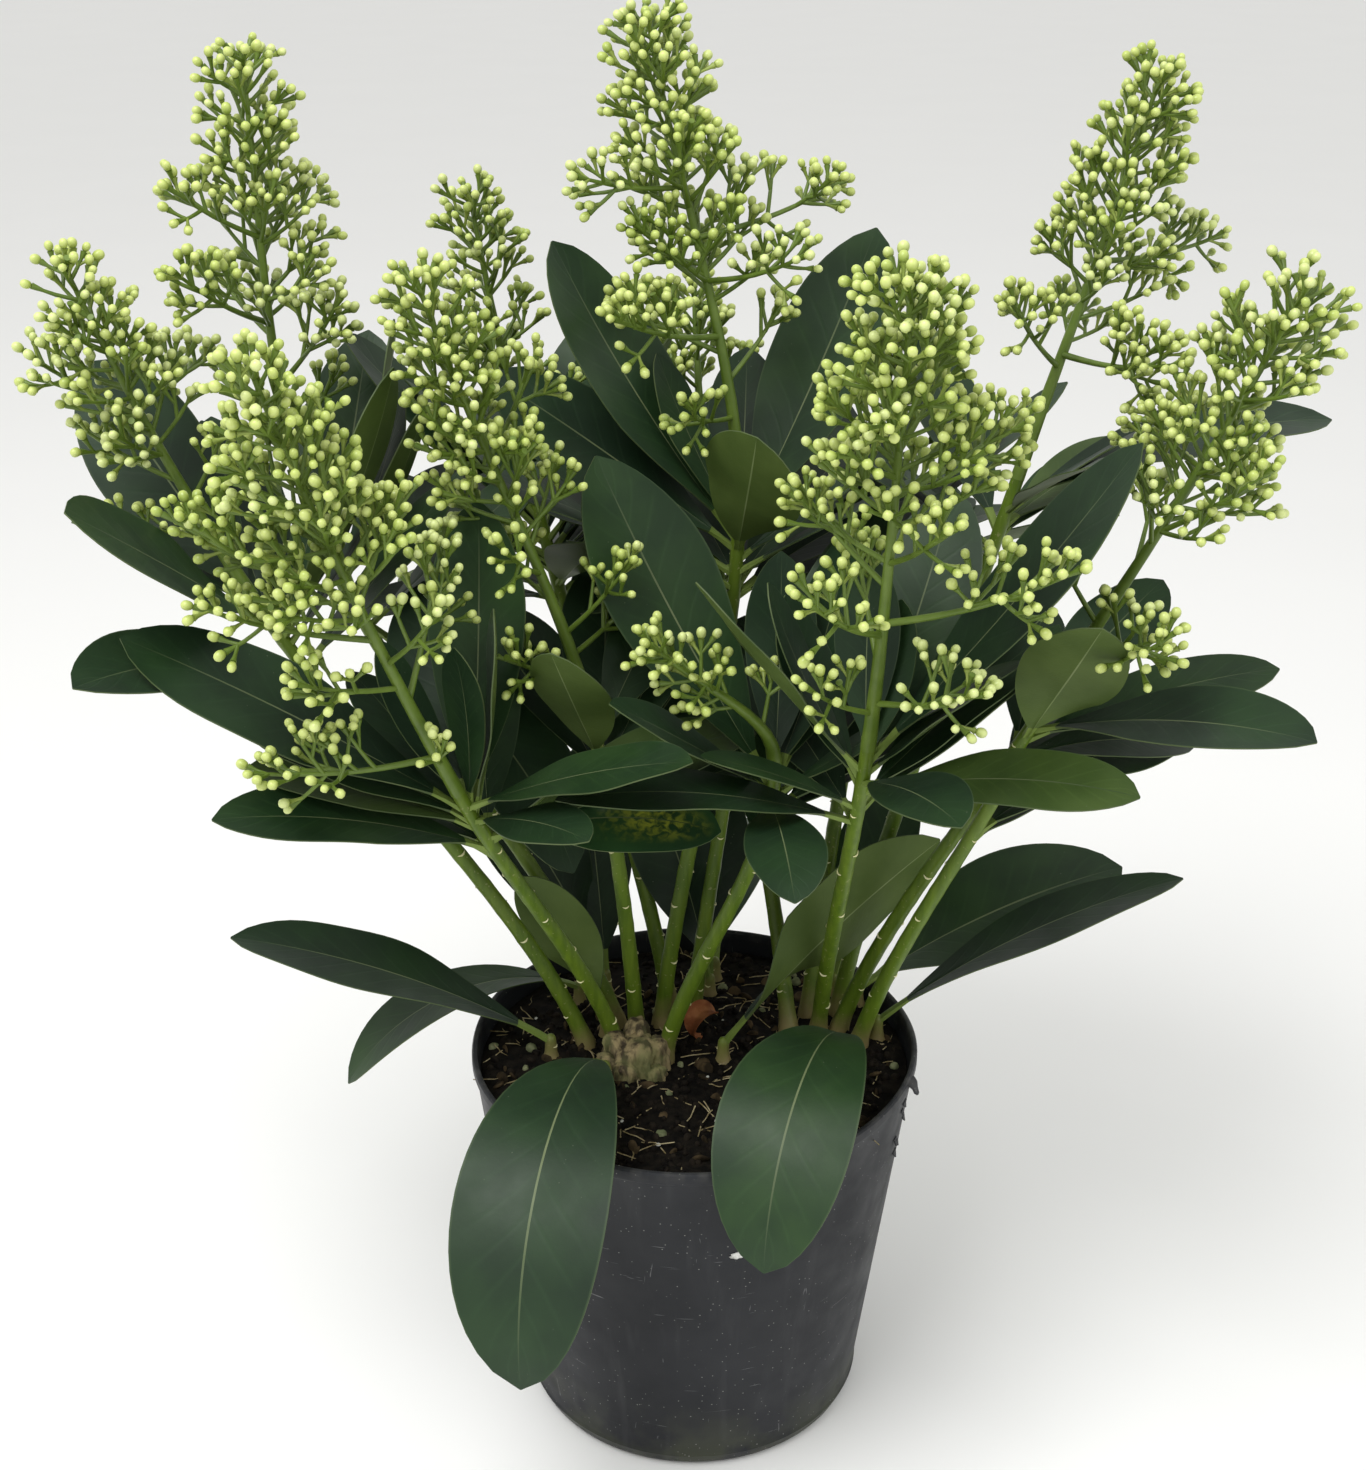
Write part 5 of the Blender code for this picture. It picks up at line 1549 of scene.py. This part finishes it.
def build_pot():
    pot = made_of("pot_shell", *turned_points(pot_outline(), POT_STEPS, pot_relief), "plastic")
    shape = bmesh.new()
    for number in range(DRAIN_COUNT):
        angle = 2 * math.pi * (number + 0.5) / DRAIN_COUNT
        circle = DRAIN_CIRCLE * MM
        spot = Matrix.Translation((circle * math.cos(angle), circle * math.sin(angle), 0))
        bmesh.ops.create_cone(shape, cap_ends=True, segments=24, radius1=DRAIN_RADIUS * MM,
                              radius2=DRAIN_RADIUS * MM, depth=8 * MM, matrix=spot)
    holes = bpy.data.meshes.new("drain_holes")
    shape.to_mesh(holes)
    shape.free()
    cutter = linked("drain_holes", holes)
    cut = pot.modifiers.new("drainage", "BOOLEAN")
    cut.operation, cut.object, cut.solver = "DIFFERENCE", cutter, "EXACT"
    plain(pot, cut)
    bpy.data.objects.remove(cutter)
    face_out(pot.data, 32.0)
    settled(pot, "pot_plastic", "pot")


def build_rim_tab():
    """A small torn tab of plastic, bent out and down from the lip."""
    outward = heading(TAB_AZIMUTH, 0)
    side = Vector((-outward.y, outward.x, 0))
    skin = (outward * 0.8 + UPWARD * 0.6) * 0.35
    points, last = [], 4 * (len(TAB_PATH) - 1)
    for k, (out, down, wide) in enumerate(TAB_PATH):
        centre = outward * (POT_TOP_RADIUS - 0.6 + out) + UPWARD * (POT_HEIGHT - 1.0 + down)
        far = wide * 0.8 + 0.5 * math.sin(k * 1.3)
        points += [centre - side * wide + skin, centre + side * far + skin,
                   centre + side * far - skin, centre - side * wide - skin]
    faces = [(0, 1, 2, 3), *[face for first in range(0, last, 4) for face in band(first, 4)],
             (last + 3, last + 2, last + 1, last)]
    tab = made_of("pot_rim_tab", points, faces, "plastic", 50)
    bevel = tab.modifiers.new("worn", "BEVEL")
    bevel.width, bevel.segments = 0.00018, 2
    settled(tab, "pot_plastic", "pot")


def build_wall_flakes():
    """Thin torn flakes that lift off the wall below the tab."""
    rng, points, faces = random.Random(29), [], []
    for k in range(6):
        outward = heading(TAB_AZIMUTH + rng.uniform(-5.0, 3.0), 0)
        z = 125.0 - 4.2 * k + rng.uniform(-1.5, 1.5)
        side = Vector((-outward.y, outward.x, 0))
        wide, tall, out = rng.uniform(0.9, 2.0), rng.uniform(1.6, 3.2), rng.uniform(0.3, 0.9)
        root = outward * (wall_radius(z) - 0.15) + UPWARD * z
        low = root + outward * out + side * rng.uniform(-0.5, 0.5) - UPWARD * tall
        bent = root + outward * (out * 0.5) - UPWARD * (tall * 0.4) - side * wide * 0.9
        first = len(points)
        for tip in (root - side * wide, root + side * wide, low, bent):
            points += [tip, tip + outward * 0.3 + UPWARD * 0.25]
        faces += [tuple(first + i for i in (0, 2, 4, 6)), tuple(first + i for i in (7, 5, 3, 1))]
        for i in range(4):
            a, b = first + 2 * i, first + 2 * ((i + 1) % 4)
            faces.append((a, a + 1, b + 1, b))
    settled(made_of("pot_wall_flakes", points, faces, "plastic", 40), "pot_plastic", "pot")


def on_wall(across, up, out):
    """A point beside the scuff's middle, out from the wall."""
    z = SCUFF_HEIGHT + up
    r = wall_radius(z) + out
    a = math.radians(SCUFF_AZIMUTH) + across / r
    return Vector((r * math.cos(a), r * math.sin(a), z))


def build_scuff():
    """A pale dried scrap stuck to the front of the wall, with a thin tail to its left."""
    rng, spread, points, faces = random.Random(41), [], [], []
    for k in range(SCUFF_RIM):
        angle = 2 * math.pi * k / SCUFF_RIM
        wide = 2.3 * (0.75 + 0.35 * rng.random()) * (1.0 if math.cos(angle) > -0.4 else 1.3)
        spread.append((wide * math.cos(angle), 1.5 * (0.7 + 0.4 * rng.random()) * math.sin(angle)))
    for grow, out in ((1.0, -0.1), (0.95, 0.22), (0.5, 0.42)):
        points += [on_wall(x * grow, y * grow, out) for x, y in spread]
    points += [on_wall(0, 0, -0.1), on_wall(0, 0, 0.45)]
    for k in range(SCUFF_RIM):
        j = (k + 1) % SCUFF_RIM
        faces.append((k, j, 3 * SCUFF_RIM))
        for low in (0, SCUFF_RIM):
            faces.append((low + k, low + j, low + j + SCUFF_RIM, low + k + SCUFF_RIM))
        faces.append((2 * SCUFF_RIM + j, 2 * SCUFF_RIM + k, 3 * SCUFF_RIM + 1))
    settled(made_of("pot_wall_scrap", points, faces, "scuff", 60), "pot_plastic", "pot")


def build_compost():
    """The compost, closed underneath, with a rough top that dips a little towards the pot wall."""
    edge, floor, rings = wall_radius(SOIL_TOP) - POT_WALL - GAP, POT_FLOOR + GAP, 44

    def relief(radius, z, angle):
        if z < SOIL_TOP - 2:
            return radius, z
        place = Vector((radius * math.cos(angle), radius * math.sin(angle), 3.0))
        low = noise.fractal(place * 0.045, 0.9, 2.0, 3) * 1.6 + noise.fractal(place * 0.33, 0.8, 2.0, 3) * 0.9
        brim = min(1.0, (edge - radius) / 6.0)
        return radius, z + low * (0.4 + 0.6 * brim) - 1.0 * (1 - brim)

    profile = [(0, floor), (wall_radius(floor) - 6.0, floor), (wall_radius(9) - POT_WALL - 0.6, 9.0),
               (edge, SOIL_TOP - 4)]
    profile += [(edge * (1 - k / rings), SOIL_TOP) for k in range(rings + 1)]
    body = made_of("compost_body", *turned_points(profile, 132, relief), "peat", 80)
    settled(body, "compost", "compost")
    # The bits are scattered over a copy of the top alone.
    shape = bmesh.new()
    shape.from_mesh(body.data)
    low, reach = (SOIL_TOP - 3.5) * MM, (edge - 3.0) * MM
    out = [face for face in shape.faces
           if min(v.co.z for v in face.verts) < low or face.calc_center_median().xy.length > reach]
    bmesh.ops.delete(shape, geom=out, context="FACES")
    top = bpy.data.meshes.new("compost_top")
    shape.to_mesh(top)
    shape.free()
    for name, rule, finish, density, seed, sizes in LITTER:
        grown("compost_" + name, top.copy(), rule, "compost", "compost", density=density, seed=seed,
              finish=FINISHES[finish], **sizes)
    bpy.data.meshes.remove(top)


def crown_knob(number, x, y, lean_x, lean_y, tall, width):
    """A cracked, leaning knob: rings of points from its foot to its tip."""
    points = []
    for k in range(CROWN_RINGS):
        share = k / CROWN_RINGS
        height = -3.0 + (tall + 3.0) * math.sin(share * math.pi / 2)
        wide = width * (1.25 - 0.3 * share) * math.cos(share * math.pi / 2) ** 0.45
        middle = CROWN + Vector((x + lean_x * share, y + lean_y * share, height))
        for a in [2 * math.pi * j / CROWN_STEPS for j in range(CROWN_STEPS)]:
            way = Vector((math.cos(a), math.sin(a), 0))
            knot = 1 + 0.40 * noise.fractal(way * 1.7 + Vector((number, 0, share * 1.6)), 0.8, 2.0, 5)
            crack = 0.05 * math.sin(5 * a + 3 * share + number) - 0.07 * abs(math.cos(4.5 * a + 2 * share))
            points.append(middle + way * (wide * knot * (1 + crack)))
    return points + [CROWN + Vector((x + lean_x, y + lean_y, tall))]


def build_crown():
    """The woody crown the front stems rise from: short cracked knobs that run into each other."""
    points, faces = [], []
    for number, knob in enumerate(KNOBS):
        first = len(points)
        points += crown_knob(number, *knob)
        last = first + (CROWN_RINGS - 1) * CROWN_STEPS
        for ring in range(first, last, CROWN_STEPS):
            faces += band(ring, CROWN_STEPS)
        faces += [(last + j, last + (j + 1) % CROWN_STEPS, len(points) - 1) for j in range(CROWN_STEPS)]
        faces.append(tuple(reversed(range(first, first + CROWN_STEPS))))
    settled(made_of("woody_crown", points, faces, "bark", 70), "bark", "stump")


def build_dry_curl():
    """A dry orange brown leaf curled up on the compost behind the crown."""
    plan = Plan()
    leaf = (Vector((2.0, 10.0, SOIL_TOP + 1.2)), 35, 150, -60, 1.0, 19, 8, 10)
    blade_rail(plan, leaf, random.Random(17), 0, fold=0.5)
    wear = dict.fromkeys(BLADE_FINISHES, FINISHES["dry"])
    grown("dry_leaf_curl", plan, "blade", "compost", "compost", **wear)


# Studio

# The two lamps: name, place, size and power.
LAMPS = (("window", (-0.45, -0.55, 1.45), 0.8, 15.0), ("fill", (0.9, -0.9, 0.9), 1.2, 3.5))
LIT_SPOT = Vector((0, 0, 0.22))  # where the lamps point
LENS, TILT = 48.98, 24.6  # mm on a 36 mm frame, and degrees down


def studio():
    mesh = bpy.data.meshes.new("studio_floor")
    mesh.from_pydata([(-9, -9, 0), (9, -9, 0), (9, 9, 0), (-9, 9, 0)], [], [(0, 1, 2, 3)])
    mesh.materials.append(plain_floor())
    linked("studio_floor", mesh)
    world = bpy.data.worlds.new("soft_daylight")
    world.use_nodes = True
    sky = world.node_tree.nodes["Background"].inputs
    sky["Color"].default_value = (1.0, 1.0, 0.985, 1.0)
    sky["Strength"].default_value = 0.80
    scene.world = world
    for name, place, size, power in LAMPS:
        light = bpy.data.lights.new(name, "AREA")
        light.size, light.energy = size, power
        lamp = linked(name, light)
        lamp.location = place
        lamp.rotation_euler = (LIT_SPOT - Vector(place)).to_track_quat("-Z", "Y").to_euler()
    lens = bpy.data.cameras.new("photo_view")
    lens.sensor_width, lens.lens = 36.0, LENS
    scene.camera = linked("photo_view", lens)
    scene.camera.location = (-0.0035, -0.569, 0.506)
    scene.camera.rotation_euler = (math.radians(90 - TILT), 0, 0)
    scene.view_settings.view_transform = "Standard"


studio()
panicles, masses, lows, space = plan_plant()
lesser_leaves(masses, space)
for build in (build_pot, build_rim_tab, build_wall_flakes, build_scuff, build_compost, build_crown,
              build_dry_curl, build_limbs):
    build()
build_blades(masses)
build_low_leaves(lows, space)
build_panicles(panicles, space)
